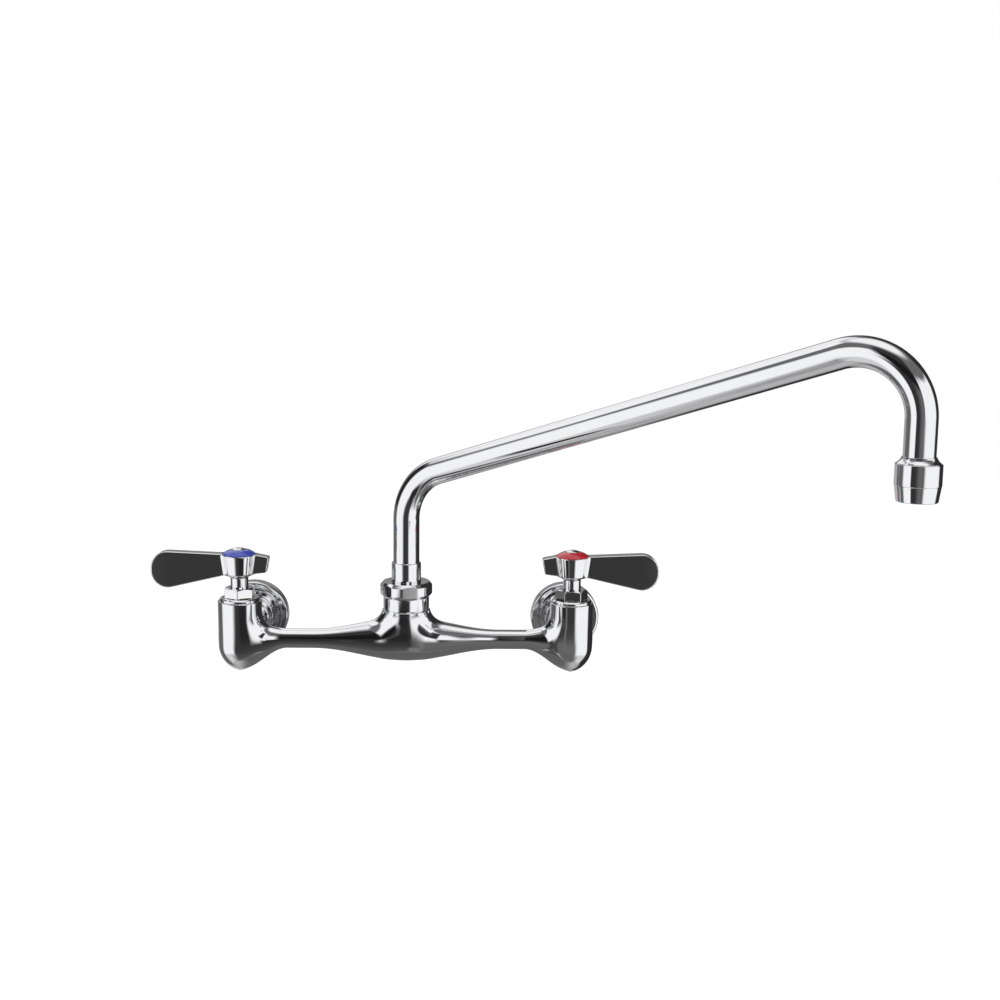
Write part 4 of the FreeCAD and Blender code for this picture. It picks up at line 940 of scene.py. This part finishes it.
flags = {
    # Black cloths, which only reflections show: where each lies, how far it fades in from its
    # sides and ends as shares of its size, and its shades along it
    "front_cloth": {
        "corner": (-900, -1260, -1500), "across": (1540, 0, 0), "along": (0, 0, 1640),
        "sides": (0.33, 0.22), "ends": (0.35, 0.09), "shades": [(0, 0.1), (0.6, 0.045), (1, 0.035)],
    },
    "arm_cloth": {
        "corner": (-125, -200, -120), "across": (180, 0, 0), "along": (0, 0, 124),
        "sides": (0.32, 0.3), "ends": (0.15, 0.15), "shades": [(0, 0.025), (1, 0.02)],
    },
    "low_left_cloth": {
        "corner": (-145, -130, -230), "across": (180, 0, 0), "along": (0, 0, 224),
        "sides": (0.2, 0.2), "ends": (0.1, 0.08), "shades": [(0, 0.2), (0.6, 0.08), (1, 0.04)],
    },
    "low_right_cloth": {
        "corner": (5, -131, -230), "across": (140, 0, 0), "along": (0, 0, 229),
        "sides": (0.24, 0.24), "ends": (0.1, 0.08), "shades": [(0, 0.22), (0.6, 0.13), (1, 0.15)],
    },
    "under_cloth": {
        "corner": (-112, -100, -58), "across": (224, 0, 0), "along": (0, 100, 0),
        "sides": (0.16, 0.16), "ends": (0.16, 0.16), "shades": [(0, 0.12), (1, 0.14)],
    },
    "drop_cloth": {
        "corner": (110, -330, 10), "across": (0, 0, 195), "along": (165, 0, 0),
        "sides": (0.12, 0.12), "ends": (0.14, 0.16),
        "shades": [(0, 0.03), (0.5, 0.035), (0.8, 0.14), (1, 0.16)],
    },
}


def newSheet(name, corners, material):
    # One flat quad, with its corners in metres
    mesh = bpy.data.meshes.new(name)
    mesh.from_pydata(corners, [], [(0, 1, 2, 3)])
    layer = mesh.uv_layers.new(name="sheet")
    for loop, spot in zip(layer.data, ((0, 0), (1, 0), (1, 1), (0, 1))):
        loop.uv = spot
    mesh.materials.append(material)
    return linkNew(name, mesh)


def makeFlag(name):
    c = flags[name]
    corner, across, along = (Vector(c[key]) * mm for key in ("corner", "across", "along"))
    material = bpy.data.materials.new("black cloth")
    cloth = newSheet(name, [corner, corner + across, corner + across + along, corner + along],
                     material)
    for kind in ("camera", "diffuse", "transmission", "volume_scatter", "shadow"):
        setattr(cloth, f"visible_{kind}", False)
    material.use_nodes = True
    tree = material.node_tree
    tree.nodes.clear()
    place = addNode(tree, "ShaderNodeTexCoord")
    parts = addNode(tree, "ShaderNodeSeparateXYZ")
    tree.links.new(place.outputs["UV"], parts.inputs[0])
    shade = c["shades"][0][1]
    for (low, _), (high, after) in zip(c["shades"], c["shades"][1:]):
        shade = mixShade(tree, ramp(tree, parts.outputs["Y"], low, high), shade, after)
    glow = addNode(tree, "ShaderNodeEmission")
    tree.links.new(shade, glow.inputs["Strength"])
    cover = 1.0
    for part, (first, last) in (("X", c["sides"]), ("Y", c["ends"])):
        cover = calc(tree, "MULTIPLY", cover, ramp(tree, parts.outputs[part], 0.0, first))
        cover = calc(tree, "MULTIPLY", cover, ramp(tree, parts.outputs[part], 1 - last, 1.0, 1.0, 0.0))
    through = addNode(tree, "ShaderNodeBsdfTransparent")
    both = addNode(tree, "ShaderNodeMixShader")
    tree.links.new(cover, both.inputs[0])
    tree.links.new(through.outputs[0], both.inputs[1])
    tree.links.new(glow.outputs[0], both.inputs[2])
    output = addNode(tree, "ShaderNodeOutputMaterial")
    tree.links.new(both.outputs[0], output.inputs["Surface"])


floorSizes = {
    "level": -320.0, "half": 3000.0, "color": (0.86, 0.86, 0.86, 1), "cloudy": (0.84, 0.84, 0.84, 1),
    "cloud": 3.0, "roughness": 0.9,
    "glow": 0.32,     # for the camera alone, so that the floor's far part is white
}


def makeFloor():
    c = floorSizes
    half, level = c["half"] * mm, c["level"] * mm
    material, tree, shader = newMaterial("pale floor")
    floor = newSheet("floor", [(-half, -half, level), (half, -half, level), (half, half, level),
                               (-half, half, level)], material)
    cloud = noise(tree, c["cloud"])
    tree.links.new(mixColor(tree, cloud, c["color"], c["cloudy"]), shader.inputs["Base Color"])
    shader.inputs["Roughness"].default_value = c["roughness"]
    path = addNode(tree, "ShaderNodeLightPath")
    glow = addNode(tree, "ShaderNodeEmission")
    tree.links.new(calc(tree, "MULTIPLY", path.outputs["Is Camera Ray"], c["glow"]),
                   glow.inputs["Strength"])
    both = addNode(tree, "ShaderNodeAddShader")
    tree.links.new(shader.outputs[0], both.inputs[0])
    tree.links.new(glow.outputs[0], both.inputs[1])
    output = tree.nodes["Material Output"]
    tree.links.new(both.outputs[0], output.inputs["Surface"])
    floor.visible_glossy = False


lamps = {
    "key": {"spot": (-900, -900, 1400), "size": 900, "power": 9.0},
    "fill": {"spot": (1100, -500, 900), "size": 900, "power": 4.0},
}
lampAim = Vector((0.05, -0.1, 0.08))      # metres, near the middle of the faucet


def makeLamps():
    for name, lamp in lamps.items():
        data = bpy.data.lights.new(name, "AREA")
        data.size = lamp["size"] * mm
        data.energy = lamp["power"]
        item = linkNew(name, data)
        item.location = Vector(lamp["spot"]) * mm
        item.rotation_euler = (lampAim - item.location).to_track_quat("-Z", "Y").to_euler()
        item.visible_glossy = False


camera = {
    "spot": (35.06, -891.13, 212.26),
    "yaw": -1.50066, "pitch": 8.68398, "roll": 0.7048,   # degrees: left, down and anticlockwise
    "lens": 49.67, "sensor": 36,
    "nearest": 10,            # nothing closer than this is drawn
}


def makeCamera():
    yaw, pitch, roll = (math.radians(camera[name]) for name in ("yaw", "pitch", "roll"))
    ahead = Vector((-math.sin(yaw) * math.cos(pitch), math.cos(yaw) * math.cos(pitch),
                    -math.sin(pitch)))
    level = Vector((math.cos(yaw), math.sin(yaw), 0))
    rise = level.cross(ahead)
    right = level * math.cos(roll) + rise * math.sin(roll)
    up = rise * math.cos(roll) - level * math.sin(roll)
    data = bpy.data.cameras.new("camera")
    data.lens = camera["lens"]
    data.sensor_width = camera["sensor"]
    data.clip_start = camera["nearest"] * mm
    item = linkNew("camera", data)
    turn = Matrix((right, up, -ahead)).transposed().to_4x4()
    item.matrix_world = Matrix.Translation(Vector(camera["spot"]) * mm) @ turn
    bpy.context.scene.camera = item


makeWorld()
for name in flags:
    makeFlag(name)
makeFloor()
makeLamps()
makeCamera()
bpy.context.scene.view_settings.view_transform = "Standard"
print("studio set")
